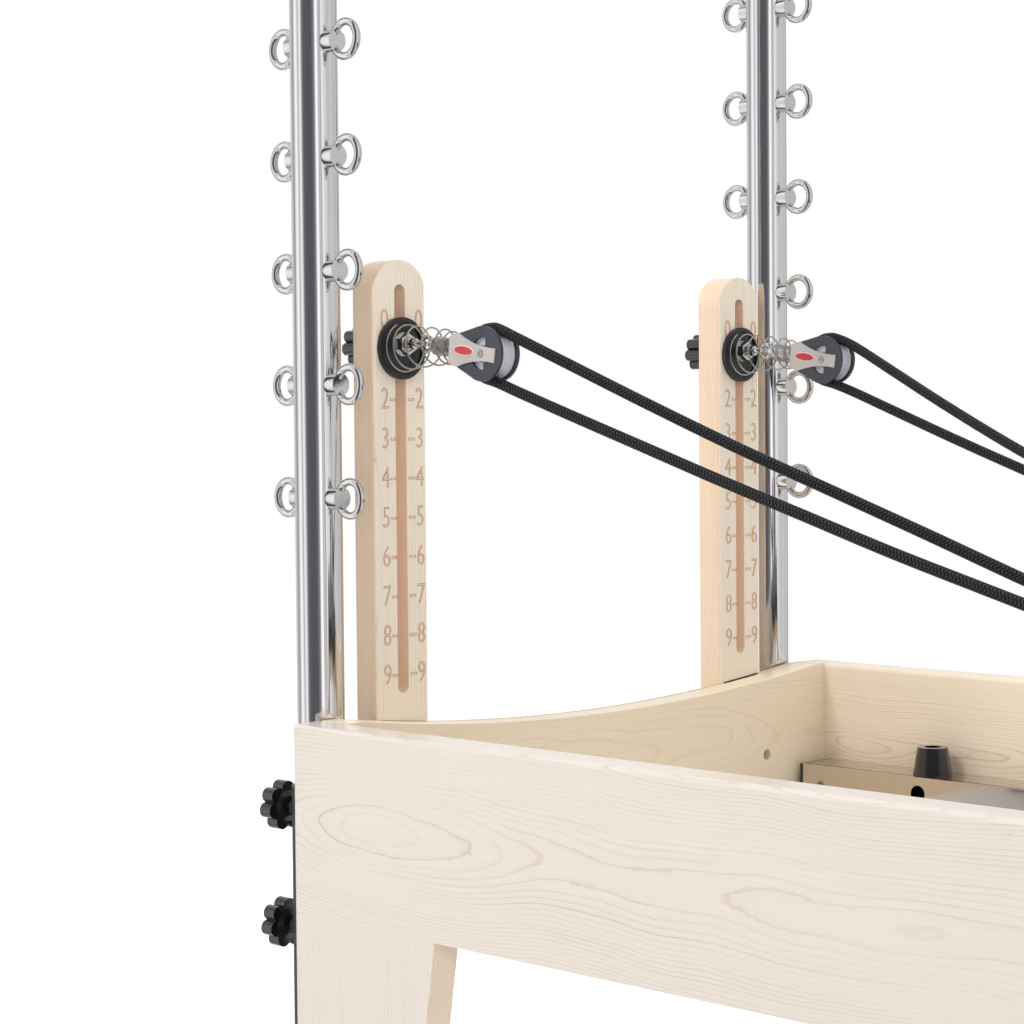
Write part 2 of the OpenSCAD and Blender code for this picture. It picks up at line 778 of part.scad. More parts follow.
echo("least gap between the cone spring's turns", cone_gap);

module cone_spring(side) {
  color(chrome) translate([0, side == "near" ? 0 : 2 * stud_y, 0]) at_stud()
    swept_tube(cone_path, cone_refs, cone_wire, 6);
}

module near_cone_spring() cone_spring("near");
module far_cone_spring() cone_spring("far");

// An upright ring through the stud's eye, and the barrel that the block turns on
barrel_x0 = 11;
barrel_x1 = 30;
module swivel_link(side) {
  color(steel) on_side(side) at_block() {
    translate([link_shift, 0, 0]) rotate([90, 0, 0]) rotate_extrude() translate([eye_r, 0])
      circle(d = eye_wire);
    rod_x(barrel_x0 - 1, barrel_x1, 8);
    rod_x(barrel_x1 - 4, barrel_x1, 12);
  }
}

module near_swivel_link() swivel_link("near");
module far_swivel_link() swivel_link("far");

// One teardrop cheek, drawn along the block, with its outer face at y and two windows
module cheek(y) {
  neck_x = 57;
  neck_half = 15;
  hub_d = 14;
  window_d = 28;
  window_x1 = 3.4;
  translate([0, max(y, y - sign(y) * cheek_t), 0]) rotate([90, 0, 0]) linear_extrude(cheek_t) difference() {
    union() {
      translate([block_reach, 0]) circle(d = cheek_d);
      polygon([[yoke_end, -tongue_half], [neck_x, -neck_half], [block_reach - 6, 0.8 - cheek_d / 2],
        [block_reach - 6, cheek_d / 2 - 0.8], [neck_x, neck_half], [yoke_end, tongue_half]]);
    }
    translate([block_reach, 0]) difference() {
      intersection() {
        circle(d = window_d);
        for (y0 = [-window_d / 2, 5]) translate([-window_d / 2, y0])
          square([window_d / 2 + window_x1, window_d / 2 - 5]);
      }
      circle(d = hub_d);
    }
  }
}

// Two cheeks on a yoke that turns on the link's barrel, with the sheave's axle between them
module pulley_block(side) {
  web_l = 10;
  inside = block_w / 2 - cheek_t;
  color(slate) on_side(side) at_block() {
    for (y = [-1, 1] * block_w / 2) cheek(y);
    difference() {
      translate([yoke_end, -inside, -tongue_half]) cube([web_l, 2 * inside, 2 * tongue_half]);
      rod_x(yoke_end - through, yoke_end + web_l + through, 4);
    }
    translate([block_reach, 0, 0]) rod_y(-block_w / 2, block_w / 2, sheave_bore);
    difference() {
      rod_x(barrel_x0 + 7, yoke_end + 1, 17);
      rod_x(0, barrel_x1 - 4 - seat_gap, 8 + 2 * seat_gap);
      rod_x(barrel_x1 - 4 - seat_gap, barrel_x1 + seat_gap, 12 + 2 * seat_gap);
    }
  }
}

module near_pulley_block() pulley_block("near");
module far_pulley_block() pulley_block("far");

// The pale plate with waisted sides, on the near-facing cheek of both blocks
module cheek_plate(side) {
  plate_t = 1.5;
  wide_x = 58;
  tip_x = block_reach + 17;
  tip_half = 6.1;
  wide_half = 14.4;
  waist_x = block_reach + 10;
  rise = wide_half - tip_half;
  waist_r = (pow(waist_x - wide_x, 2) + rise * rise) / (2 * rise);
  y0 = side == "near" ? -block_w / 2 : block_w / 2 + plate_t;
  color("#b0a8a2") on_side(side) at_block() translate([0, y0, 0]) rotate([90, 0, 0])
    linear_extrude(plate_t) difference() {
      polygon([[yoke_end + 0.5, -11.5], [55, -wide_half], [tip_x, -wide_half],
        [tip_x, wide_half], [55, wide_half], [yoke_end + 0.5, 11.5]]);
      for (s = [-1, 1]) translate([waist_x, s * (waist_r + tip_half)]) circle(r = waist_r, $fn = 180);
    }
}

module near_cheek_plate() cheek_plate("near");
module far_cheek_plate() cheek_plate("far");

// A wide sheave with a rope groove, running on the block's axle
module sheave(side) {
  half = block_w / 2 - cheek_t - 0.5;
  groove_r = 16.8;
  groove_d = rope_d + 2 * rope_play;
  rim_r = sheave_d / 2;
  color("#c8c6d0") on_side(side) at_block() translate([block_reach, 0, 0]) rotate([90, 0, 0]) difference() {
    translate([0, 0, -half]) cylinder(r = rim_r, h = 2 * half);
    rotate_extrude() translate([groove_r + groove_d / 2, 0]) circle(d = groove_d);
    rotate_extrude() translate([groove_r + groove_d / 2, -groove_d / 2]) square([groove_d, groove_d]);
    translate([0, 0, -half - through]) cylinder(d = sheave_bore + 2 * sheave_fit, h = 2 * half + 2 * through);
  }
}

module near_sheave() sheave("near");
module far_sheave() sheave("far");

// The rope, whole, along its route
module rope(side) {
  color(black) on_side(side) at_upright()
    swept_tube(rope_route, [for (p = rope_route) [0, 1, 0]], rope_d, rope_sides);
}

module near_rope() rope("near");
module far_rope() rope("far");

// A webbing loop round the shoulder post, with a sleeve at its start that holds the rope's end
module hand_loop(side) {
  start = [upright_x, -upright_y, rail_top] + loop_start;
  stop = [post_x, -shoulder_gap / 2, rail_top + loop_post_z];
  run = stop - start;
  slope = atan2(-run[2], norm([run[0], run[1]]));
  loop_d = post_d + 2 * loop_slack + 2 * loop_t;
  color(black) on_side(side) translate(start) rotate([0, slope, atan2(run[1], run[0])]) difference() {
    union() {
      translate([0, 0, -loop_w / 2]) linear_extrude(loop_w) difference() {
        stadium(norm(run) + loop_slack, loop_d);
        stadium(norm(run) + loop_slack, loop_d - 2 * loop_t);
      }
      rod_x(-loop_d / 2 - sleeve_l, 0.5 - loop_d / 2 + loop_t, sleeve_d);
    }
    rod_x(-loop_d / 2 - sleeve_l - through, 1 - loop_d / 2 + loop_t, rope_d + 2 * rope_play);
  }
}

module near_hand_loop() hand_loop("near");
module far_hand_loop() hand_loop("far");

// The deck with a tongue under the headrest, wheel brackets and stub axles, and spring hooks
module carriage_frame() {
  deck_x0 = head_x + carriage_x;
  tongue_l = 90;
  color(birch) {
    translate([deck_x0, -deck_w / 2, deck_z]) cube([carriage_l, deck_w, deck_t]);
    translate([deck_x0 - tongue_l, -headrest_w / 2 + 20, deck_z]) cube([tongue_l, headrest_w - 40, deck_t]);
    for (side = ["near", "far"], reach = [wheel_inset, carriage_l - wheel_inset]) on_side(side)
      translate([deck_x0 + reach, 0, axle_z]) {
        translate([-bracket_w / 2, -bracket_y - bracket_t, -bracket_down])
          cube([bracket_w, bracket_t, deck_z - axle_z + bracket_down]);
        rod_y(-track_y - wheel_w / 2 - 1, -bracket_y, axle_d);
      }
    for (y = spring_ys)
      translate([deck_x0 + carriage_l - hook_l, y - hook_t / 2, spring_z - hook_down])
        cube([hook_l, hook_t, deck_z - spring_z + hook_down]);
  }
}

// A closed pad: upright lower sides that draw in, rolled edges and a crowned top
function pad_ring(l, w, r, inset, z, n) = [for (q = [0 : 3], k = [0 : n - 1])
  let (a = 90 * (q + k / (n - 1)),
    cx = q == 0 || q == 3 ? l / 2 - r : r - l / 2,
    cy = q < 2 ? w / 2 - r : r - w / 2,
    p = [cx + r * cos(a), cy + r * sin(a)])
  [p[0] * (1 - 2 * inset / l), p[1] * (1 - 2 * inset / w), z]];
pad_levels = [[1.5, 0], [3, 0.2], [2.5, 0.4], [0, 0.62], [1.5, 0.78], [6, 0.92], [14, 1]];
module pad(l, w, h, r, crown) {
  corner = 7;
  count = 4 * corner;
  edge = pad_ring(l, w, r, pad_levels[len(pad_levels) - 1][0], 0, corner);
  crown_shares = [0.7, 0.35];
  points = concat(
    [for (v = pad_levels) each pad_ring(l, w, r, v[0], (h - crown) * v[1], corner)],
    [for (s = crown_shares, p = edge) [p[0] * s, p[1] * s, h - crown * s * s]],
    [[0, 0, h]]);
  rings = len(pad_levels) + len(crown_shares);
  tip = rings * count;
  walls = [for (i = [0 : rings - 2], k = [0 : count - 1])
    let (a = i * count + k, b = i * count + (k + 1) % count)
    each [[a, a + count, b], [b, a + count, b + count]]];
  floor_faces = [for (k = [1 : count - 2]) [0, k, k + 1]];
  crown_faces = [for (k = [0 : count - 1])
    [tip - count + k, tip, tip - count + (k + 1) % count]];
  polyhedron(points, concat(walls, floor_faces, crown_faces));
}

module carriage_pad() {
  x0 = post_x + 20;
  l = head_x + carriage_x + carriage_l - x0;
  color(upholstery) translate([x0 + l / 2, 0, pad_z + seat_gap])
    pad(l, deck_w - 4, pad_t, carriage_pad_r, pad_crown);
}

module headrest() {
  lift = 2 * seat_gap + headrest_board_t;
  color(upholstery) translate([headrest_x1 - headrest_l / 2, 0, pad_z + lift])
    pad(headrest_l, headrest_w, pad_t - lift, headrest_r, pad_crown);
}

// The board under the headrest, with the middle knuckle of its hinge
module headrest_board() {
  inset = 12;
  half = headrest_w / 2 - 30;
  corner = 20;
  x0 = headrest_x1 - headrest_l + inset;
  x1 = hinge_x - hinge_d / 2 - 1;
  color("#8d8f93") {
    translate([x0, -half, pad_z + seat_gap]) linear_extrude(headrest_board_t)
      round_rect(x1 - x0, 2 * half, corner);
    difference() {
      union() {
        translate([x1 - corner, -hinge_half, pad_z + seat_gap])
          cube([hinge_x - x1 + corner, 2 * hinge_half, headrest_board_t]);
        translate([hinge_x, 0, hinge_z]) rod_y(-hinge_half, hinge_half, hinge_d);
      }
      translate([hinge_x, 0, hinge_z])
        rod_y(-hinge_half - through, hinge_half + through, hinge_pin_d + 2 * pin_fit);
    }
  }
}

// The headrest hinge's pin, with an outer knuckle at each end that stands on the deck
module headrest_hinge() {
  knuckle_l = 18;
  y0 = hinge_half + seat_gap;
  translate([hinge_x, 0, hinge_z]) rod_y(-y0 - knuckle_l, y0 + knuckle_l, hinge_pin_d);
  for (y = [-y0 - knuckle_l, y0]) {
    translate([hinge_x, y, hinge_z]) rod_y(0, knuckle_l, hinge_d);
    translate([hinge_x - hinge_d / 2, y, pad_z]) cube([hinge_d, knuckle_l, hinge_z - pad_z]);
  }
}

// A socket for the rope's end, on a short post that stands on the deck
module rope_anchor() {
  run = rope_route[1] - rope_route[0];
  solid_l = 12;
  at_upright() translate(rope_route[0])
    rotate([0, atan2(-run[2], norm([run[0], run[1]])), atan2(run[1], run[0])]) difference() {
      rod_x(-solid_l, 18, sleeve_d);
      rod_x(0, 18 + through, rope_d + 2 * rope_play);
    }
  translate([upright_x + rope_route[0][0] + solid_l / 2, -upright_y + rope_route[0][1], pad_z])
    cylinder(d = 10, h = rail_top + rope_route[0][2] - pad_z);
}

// Shoulder posts with their pad plates, and an anchor for each rope
module carriage_posts() {
  plate_t = 3;
  color(steel) for (side = ["near", "far"]) on_side(side) {
    translate([post_x, -shoulder_gap / 2, pad_z]) {
      cylinder(d = post_d, h = post_h);
      cylinder(d = 30, h = 4);
      translate([post_d / 2 - 2, -45, shoulder_low + 8]) cube([plate_t, 90, shoulder_l - 16]);
    }
    rope_anchor();
  }
  color(steel) headrest_hinge();
}

module shoulder_pads() {
  color(upholstery) for (side = ["near", "far"]) on_side(side)
    translate([post_x + post_d / 2 + 1 + seat_gap, -shoulder_gap / 2, pad_z + shoulder_low + shoulder_l / 2])
      rotate([0, 90, 0]) pad(shoulder_l, shoulder_w, shoulder_t, shoulder_r, pad_crown);
}

// Two wheels that run on the tracks, on one pair of stub axles
module wheel_pair(x) {
  color("dimgray") for (side = ["near", "far"]) on_side(side)
    translate([x, -track_y, axle_z]) difference() {
      rod_y(-wheel_w / 2, wheel_w / 2, wheel_d);
      rod_y(-wheel_w / 2 - through, wheel_w / 2 + through, axle_d + 2 * pin_fit);
      for (y = [-1, 1]) translate([0, y * wheel_w / 2, 0]) difference() {
        rod_y(-3, 3, wheel_d - 10);
        rod_y(-4, 4, 20);
      }
    }
}

module head_wheels() wheel_pair(head_x + carriage_x + wheel_inset);
module foot_wheels() wheel_pair(head_x + carriage_x + carriage_l - wheel_inset);

// The four carriage springs as round bodies between the carriage and the spring bar
module carriage_springs() {
  x0 = head_x + carriage_x + carriage_l + seat_gap;
  x1 = spring_bar_x - 15 - seat_gap;
  color(chrome) for (y = spring_ys) translate([0, y, spring_z]) {
    rod_x(x0, x1, 6);
    rod_x(x0 + 20, x1 - 15, spring_d);
  }
}

// A square bar between the rails with a pin at each end and a post for each spring
module spring_bar() {
  bar = 30;
  color("#8d8f93") {
    translate([spring_bar_x - bar / 2, -inner_y, spring_z - bar / 2]) cube([bar, 2 * inner_y, bar]);
    for (side = ["near", "far"]) on_side(side)
      translate([spring_bar_x, -inner_y, spring_z]) rod_y(-pin_depth, through, axle_d);
    for (y = spring_ys) translate([spring_bar_x, y, spring_z]) cylinder(d = 8, h = bar);
  }
}

// A flange on each rail with the pin that the footbar turns on
module footbar_brackets() {
  pin_end = footbar_y - footbar_d / 2 - 3;
  color(steel) for (side = ["near", "far"]) on_side(side) translate([footbar_x, 0, footbar_z]) {
    rod_y(-inner_y, -inner_y + 2.7, 50);
    rod_y(-inner_y - pin_depth, -pin_end, axle_d);
    rod_y(-pin_end, -pin_end + 4, 18);
  }
}

// The bent footbar with a boss round each pivot pin
module footbar() {
  lean = atan2(footbar_lean, footbar_h);
  reach = norm([footbar_lean, footbar_h]);
  hollow_from = boss_half + 6;
  color(chrome) translate([footbar_x, 0, footbar_z]) rotate([0, lean, 0])
    for (side = ["near", "far"]) on_side(side) difference() {
      union() {
        bent_rod(-footbar_y, 0, reach, footbar_corner_r, footbar_d);
        rod_y(-footbar_y - boss_half, -footbar_y + boss_half, footbar_d + 8);
      }
      bent_rod(-footbar_y, hollow_from, reach, footbar_corner_r, footbar_d - 2 * tube_wall);
      rod_y(-inner_y, 0, axle_d + 2 * pin_fit);
    }
}

module footbar_grip() {
  lean = atan2(footbar_lean, footbar_h);
  reach = norm([footbar_lean, footbar_h]);
  half = footbar_y - footbar_corner_r - 20;
  color(black) translate([footbar_x, 0, footbar_z]) rotate([0, lean, 0]) translate([0, 0, reach])
    difference() {
      rod_y(-half, half, grip_d);
      rod_y(-half - through, half + through, footbar_d + 2 * pin_fit);
    }
}

near_side_rail();
far_side_rail();
head_panel();
foot_panel();
head_legs();
foot_legs();
leg_feet();
frame_dowels();
near_track();
far_track();
track_end_caps();
track_stops();
near_tower_socket();
far_tower_socket();
frame_screws();
near_riser();
far_riser();
riser_bolts();
near_upright();
far_upright();
tower_crossbar();
near_eyebolts();
far_eyebolts();
near_upper_clamp_knob();
near_lower_clamp_knob();
far_upper_clamp_knob();
far_lower_clamp_knob();
near_guide_disc();
far_guide_disc();
near_pulley_stud();
far_pulley_stud();
near_height_knob();
far_height_knob();
near_cone_spring();
far_cone_spring();
near_swivel_link();
far_swivel_link();
near_pulley_block();
far_pulley_block();
near_cheek_plate();
far_cheek_plate();
near_sheave();
far_sheave();
near_rope();
far_rope();
near_hand_loop();
far_hand_loop();
carriage_frame();
carriage_pad();
headrest();
headrest_board();
carriage_posts();
shoulder_pads();
head_wheels();
foot_wheels();
carriage_springs();
spring_bar();
footbar_brackets();
footbar();
footbar_grip();
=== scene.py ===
"""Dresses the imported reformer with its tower: materials, ropes, springs, pads, a scale and small hardware."""
import math

import bmesh
import bpy
from mathutils import Matrix, Vector


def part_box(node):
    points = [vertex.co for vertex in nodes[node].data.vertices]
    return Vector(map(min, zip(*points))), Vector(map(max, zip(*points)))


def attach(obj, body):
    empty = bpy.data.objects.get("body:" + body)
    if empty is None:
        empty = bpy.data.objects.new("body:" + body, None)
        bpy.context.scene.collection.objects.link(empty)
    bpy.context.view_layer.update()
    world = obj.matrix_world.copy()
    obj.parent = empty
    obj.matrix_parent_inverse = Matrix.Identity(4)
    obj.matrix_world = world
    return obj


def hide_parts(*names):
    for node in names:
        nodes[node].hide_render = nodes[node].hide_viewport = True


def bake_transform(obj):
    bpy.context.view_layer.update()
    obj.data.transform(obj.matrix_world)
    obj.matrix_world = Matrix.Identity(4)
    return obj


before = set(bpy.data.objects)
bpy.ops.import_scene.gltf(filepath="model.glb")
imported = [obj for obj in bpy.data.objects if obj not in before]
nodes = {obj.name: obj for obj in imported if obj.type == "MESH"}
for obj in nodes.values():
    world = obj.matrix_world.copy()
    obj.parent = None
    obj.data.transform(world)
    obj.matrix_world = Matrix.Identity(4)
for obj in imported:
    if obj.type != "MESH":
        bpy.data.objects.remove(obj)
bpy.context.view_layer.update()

# Places read from the frame, in metres
UPRIGHT_LOW, UPRIGHT_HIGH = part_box("near_upright")
UPRIGHT_X = (UPRIGHT_LOW.x + UPRIGHT_HIGH.x) / 2
UPRIGHT_Y = (UPRIGHT_LOW.y + UPRIGHT_HIGH.y) / 2
RAIL_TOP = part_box("near_side_rail")[1].z
HEAD_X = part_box("near_side_rail")[0].x
RISER_LOW, RISER_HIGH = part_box("near_riser")
RISER_Y = (RISER_LOW.y + RISER_HIGH.y) / 2
STUD_LOW, STUD_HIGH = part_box("near_pulley_stud")
STUD = Vector((HEAD_X, (STUD_LOW.y + STUD_HIGH.y) / 2, (STUD_LOW.z + STUD_HIGH.z) / 2))
SHEAVE_LOW, SHEAVE_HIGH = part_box("near_sheave")
AXLE = (SHEAVE_LOW + SHEAVE_HIGH) / 2
PANEL_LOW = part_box("head_panel")[0]
SPRING_LOW, SPRING_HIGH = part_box("carriage_springs")
SPRING_Z = (SPRING_LOW.z + SPRING_HIGH.z) / 2

# From the pulley block's rear end to its axle, in metres
BLOCK_REACH = 0.086

SIDES = ("near", "far")
QUARTER = math.pi / 2
WHOLE = 2 * math.pi


def on_side(y, side):
    """A near-side y, or its mirror image on the far side."""
    return y if side == "near" else -y


def from_upright(x, y, z, side="near"):
    """A point in millimetres from the upright's axis at the rail top, with y inboard."""
    return Vector((UPRIGHT_X + x / 1000, on_side(UPRIGHT_Y + y / 1000, side), RAIL_TOP + z / 1000))


# Materials


def srgb(red, green, blue):
    """A linear colour from 8-bit sRGB values."""
    def linear(value):
        value /= 255
        return value / 12.92 if value <= 0.04045 else ((value + 0.055) / 1.055) ** 2.4
    return (linear(red), linear(green), linear(blue), 1)


def shade_of(level):
    return (level, level, level, 1)


def tinted(colour, factors):
    return tuple(min(1, channel * factor) for channel, factor in zip(colour, factors)) + (1,)


def lightened(colour, factor, lift):
    return tuple(min(1, channel * factor + lift) for channel in colour[:3]) + (1,)


WHITE = shade_of(1)
BLACK = shade_of(0)


class Graph:
    """A node tree with short calls for its nodes."""

    def __init__(self, tree):
        self.tree = tree

    def node(self, kind, **values):
        """A new node, with its settings and inputs given by name."""
        made = self.tree.nodes.new(kind)
        for key, value in values.items():
            if hasattr(made, key):
                setattr(made, key, value)
            else:
                made.inputs[key.replace("_", " ")].default_value = value
        return made

    def link(self, source, target):
        self.tree.links.new(source, target)

    def math(self, operation, *values):
        made = self.node("ShaderNodeMath", operation=operation)
        for index, value in enumerate(values):
            if isinstance(value, (int, float)):
                made.inputs[index].default_value = value
            else:
                self.link(value, made.inputs[index])
        return made.outputs[0]


class Paint(Graph):
    """A Principled material."""

    def __init__(self, name, colour, roughness, metallic=0.0):
        self.material = bpy.data.materials.new(name)
        self.material.use_nodes = True
        self.material.diffuse_color = colour
        super().__init__(self.material.node_tree)
        self.shader = self.tree.nodes["Principled BSDF"]
        self.set("Base Color", colour)
        self.set("Roughness", roughness)
        self.set("Metallic", metallic)

    def set(self, socket, value):
        self.shader.inputs[socket].default_value = value

    def place(self, scale=(1, 1, 1), source="Object"):
        """Scaled texture coordinates."""
        coordinates = self.node("ShaderNodeTexCoord")
        mapping = self.node("ShaderNodeMapping", Scale=scale)
        self.link(coordinates.outputs[source], mapping.inputs["Vector"])
        return mapping.outputs["Vector"]

    def noise(self, vector, scale, detail=3.0, roughness=0.5):
        made = self.node("ShaderNodeTexNoise", Scale=scale, Detail=detail, Roughness=roughness)
        self.link(vector, made.inputs["Vector"])
        return made.outputs["Fac"]

    def ramp(self, value, *stops):
        """A ramp of (position, colour) stops."""
        made = self.node("ShaderNodeValToRGB")
        elements = made.color_ramp.elements
        while len(elements) < len(stops):
            elements.new(0.5)
        for element, (position, colour) in zip(elements, stops):
            element.position = position
            element.color = colour
        self.link(value, made.inputs["Fac"])
        return made.outputs["Color"]

    def mix(self, share, first, second):
        """Two colours mixed by share, each of them a value or a socket."""
        made = self.node("ShaderNodeMix", data_type="RGBA")
        for socket, value in ((made.inputs[0], share), (made.inputs[6], first), (made.inputs[7], second)):
            if isinstance(value, bpy.types.NodeSocket):
                self.link(value, socket)
            else:
                socket.default_value = value
        return made.outputs[2]

    def colour(self, socket):
        self.link(socket, self.shader.inputs["Base Color"])

    def roughness(self, value, low, high):
        """Roughness that follows a texture between two values."""
        made = self.node("ShaderNodeMapRange", To_Min=low, To_Max=high)
        self.link(value, made.inputs["Value"])
        self.link(made.outputs["Result"], self.shader.inputs["Roughness"])

    def bump(self, height, distance):
        made = self.node("ShaderNodeBump", Strength=1.0, Distance=distance)
        self.link(height, made.inputs["Height"])
        self.link(made.outputs["Normal"], self.shader.inputs["Normal"])


class Grain:
    """Places along and across a board's grain, so that noise drawn there runs with the grain."""

    def __init__(self, paint, along):
        self.paint = paint
        parts = paint.node("ShaderNodeSeparateXYZ")
        paint.link(paint.place(), parts.inputs[0])
        self.length = parts.outputs[along]
        self.crosses = [parts.outputs[axis] for axis in ("X", "Y", "Z") if axis != along]
        if along != "Y":
            index = 0 if along == "X" else 1
            self.crosses[index] = paint.math("ABSOLUTE", self.crosses[index])

    def noise(self, reach, width, shift, detail, roughness=0.5):
        """Noise with features of about reach along the grain and width across it, in metres."""
        paint = self.paint
        made = paint.node("ShaderNodeCombineXYZ")
        paint.link(paint.math("MULTIPLY", self.length, 1 / reach), made.inputs[0])
        for socket, cross in zip(made.inputs[1:], self.crosses):
            paint.link(paint.math("MULTIPLY_ADD", cross, 1 / width, shift), socket)
        return paint.noise(made.outputs[0], 1.0, detail, roughness)


# Growth rings, in metres: their pitch, how far the pith wanders, and two sizes of raggedness as
# length along the grain, width across it and depth
RING_PITCH = 0.0026
PITH_WANDER = 0.05
RAGGED_EDGES = ((0.05, 0.012, 0.0018), (0.008, 0.0025, 0.0007))

# Maple's lighter and darker parts, as factors on its tone
PALE_TINT = (1.03, 1.04, 1.06)
WARM_TINT = (0.94, 0.885, 0.82)
LINE_TINT = (0.80, 0.64, 0.55)
FLECK_TINT = (0.6, 0.4, 0.3)


def ring_radius(paint, grain, pith, seed):
    """The distance from a wandering pith, made a little ragged."""
    squares = []
    for index, cross in enumerate(grain.crosses):
        wander = grain.noise(0.3, 0.3, seed + 7 * index, 1.5)
        bend = paint.math("MULTIPLY_ADD", wander, PITH_WANDER, -PITH_WANDER / 2)
        away = paint.math("ADD", paint.math("SUBTRACT", cross, pith[index]), bend)
        squares.append(paint.math("MULTIPLY", away, away))
    radius = paint.math("SQRT", paint.math("ADD", *squares))
    for reach, width, depth in RAGGED_EDGES:
        ragged = grain.noise(reach, width, seed, 2.0)
        radius = paint.math("ADD", radius, paint.math("MULTIPLY_ADD", ragged, depth, -depth / 2))
    return radius


def ring_lines(paint, grain, pith, seed):
    """The late wood of each ring as a soft line, stronger in some rings and places than in others."""
    ring_number = paint.math("DIVIDE", ring_radius(paint, grain, pith, seed), RING_PITCH)
    age = paint.math("FRACT", ring_number)
    lines = paint.ramp(age, (0.0, BLACK), (0.5, shade_of(0.03)), (0.74, shade_of(0.2)), (0.84, WHITE),
                       (0.9, shade_of(0.8)), (0.94, BLACK))
    chance = paint.node("ShaderNodeTexWhiteNoise", noise_dimensions="1D")
    paint.link(paint.math("FLOOR", ring_number), chance.inputs["W"])
    strength = paint.math("MULTIPLY_ADD", chance.outputs["Value"], 0.75, 0.25)
    patches = paint.ramp(grain.noise(0.3, 0.04, seed + 5, 1.0), (0.36, shade_of(0.35)), (0.64, WHITE))
    return paint.math("MULTIPLY", paint.math("MULTIPLY", lines, patches), strength)


def maple(name, along, pith, tone, seed, streak):
    """Clear-coated maple. The grain runs along one axis, with growth rings round a pith beside the board.

    pith is the place of the tree's heart on the two other axes, in metres. The second of them, or the
    first for grain along X, is measured from the middle plane, so both sides of the bed mirror each other.
    """
    paint = Paint(name, tone, 0.3)
    paint.set("Coat Weight", 0.3)
    paint.set("Coat Roughness", 0.14)
    grain = Grain(paint, along)
    fine = grain.noise(0.12, 0.0025, seed, 4.0, 0.65)
    cloud = grain.noise(0.25, 0.05, seed + 9, 2.0)
    flecks = paint.ramp(grain.noise(0.016, 0.0013, seed + 2, 1.0), (0.79, BLACK), (0.83, WHITE))
    lines = paint.math("MULTIPLY", ring_lines(paint, grain, pith, seed), streak)
    clouded = paint.mix(cloud, tinted(tone, PALE_TINT), tone)
    base = paint.mix(paint.math("MULTIPLY", fine, 0.9), clouded, tinted(tone, WARM_TINT))
    ringed = paint.mix(lines, base, tinted(tone, LINE_TINT))
    paint.colour(paint.mix(paint.math("MULTIPLY", flecks, 0.5), ringed, tinted(tone, FLECK_TINT)))
    paint.roughness(fine, 0.26, 0.38)
    paint.bump(fine, 0.00005)
    return paint.material


def chrome():
    paint = Paint("chrome", srgb(222, 221, 222), 0.07, 1.0)
    haze = paint.noise(paint.place((60, 60, 6)), 1.0)
    paint.roughness(haze, 0.04, 0.1)
    return paint.material


def bright_steel(name, colour, low, high, scale=90):
    """Plated or bare steel with small scratches and casting marks, deeper on rougher steel."""
    paint = Paint(name, colour, low, 1.0)
    marks = paint.noise(paint.place((scale, scale, scale)), 3.0, 5.0, 0.6)
    paint.roughness(marks, low, high)
    paint.bump(marks, 0.0002 * high)
    return paint.material


def moulded(name, colour, roughness, grain, depth, coat=0.0):
    """Moulded plastic or rubber with a fine grain."""
    paint = Paint(name, colour, roughness)
    paint.set("Coat Weight", coat)
    paint.set("Coat Roughness", 0.15)
    skin = paint.noise(paint.place((grain, grain, grain)), 1.0)
    cloud = paint.noise(paint.place((25, 25, 25)), 1.0, 2.0)
    paint.colour(paint.mix(cloud, colour, lightened(colour, 1.35, 0.004)))
    paint.roughness(skin, roughness * 0.8, roughness * 1.25)
    paint.bump(skin, depth)
    return paint.material


def woven(name, colour, scale, depth):
    """Flat webbing with a fine warp and weft."""
    paint = Paint(name, colour, 0.75)
    paint.set("Sheen Weight", 0.25)
    waves = []
    for direction in ("X", "Z"):
        wave = paint.node("ShaderNodeTexWave", bands_direction=direction, Scale=scale, Distortion=0.2)
        paint.link(paint.place(), wave.inputs["Vector"])
        waves.append(wave.outputs["Fac"])
    weave = paint.math("MULTIPLY", *waves)
    paint.colour(paint.mix(weave, colour, lightened(colour, 2.2, 0.01)))
    paint.bump(weave, depth)
    return paint.material


ROPE_RADIUS = 0.00475
BRAID_COLUMNS = 4
BRAID_PITCH = 0.0033


def braided(name):
    """Braided rope: chevrons of plaited strands along its UV map, with painted highlights on the strands'
    ridges and painted shade in the grooves between them.
    """
    paint = Paint(name, srgb(24, 24, 27), 0.6)
    paint.set("Specular IOR Level", 0.4)
    parts = paint.node("ShaderNodeSeparateXYZ")
    paint.link(paint.place(source="UV"), parts.inputs[0])
    column = paint.math("FRACT", paint.math("MULTIPLY", parts.outputs[0], BRAID_COLUMNS))
    zigzag = paint.math("ABSOLUTE", paint.math("MULTIPLY_ADD", column, 2.0, -1.0))
    along = paint.math("MULTIPLY_ADD", parts.outputs[1], WHOLE * ROPE_RADIUS / BRAID_PITCH, zigzag)
    strand = paint.math("SINE", paint.math("MULTIPLY", along, WHOLE))
    seam = paint.math("SINE", paint.math("MULTIPLY", column, WHOLE))
    ridge = paint.math("SUBTRACT", strand, paint.math("ABSOLUTE", paint.math("MULTIPLY", seam, 0.4)))
    fibre = paint.noise(paint.place((1100, 1100, 1100)), 1.0, 2.0)
    # Painted highlight on the strands' ridges and painted shade in the grooves between them
    crest_light_groove_shade = paint.ramp(ridge, (0.0, BLACK), (0.35, shade_of(0.25)), (0.9, WHITE))
    paint.colour(paint.mix(paint.math("MULTIPLY", crest_light_groove_shade, fibre), srgb(9, 9, 11), srgb(98, 98, 106)))
    paint.bump(paint.math("ADD", ridge, fibre), 0.0003)
    return paint.material


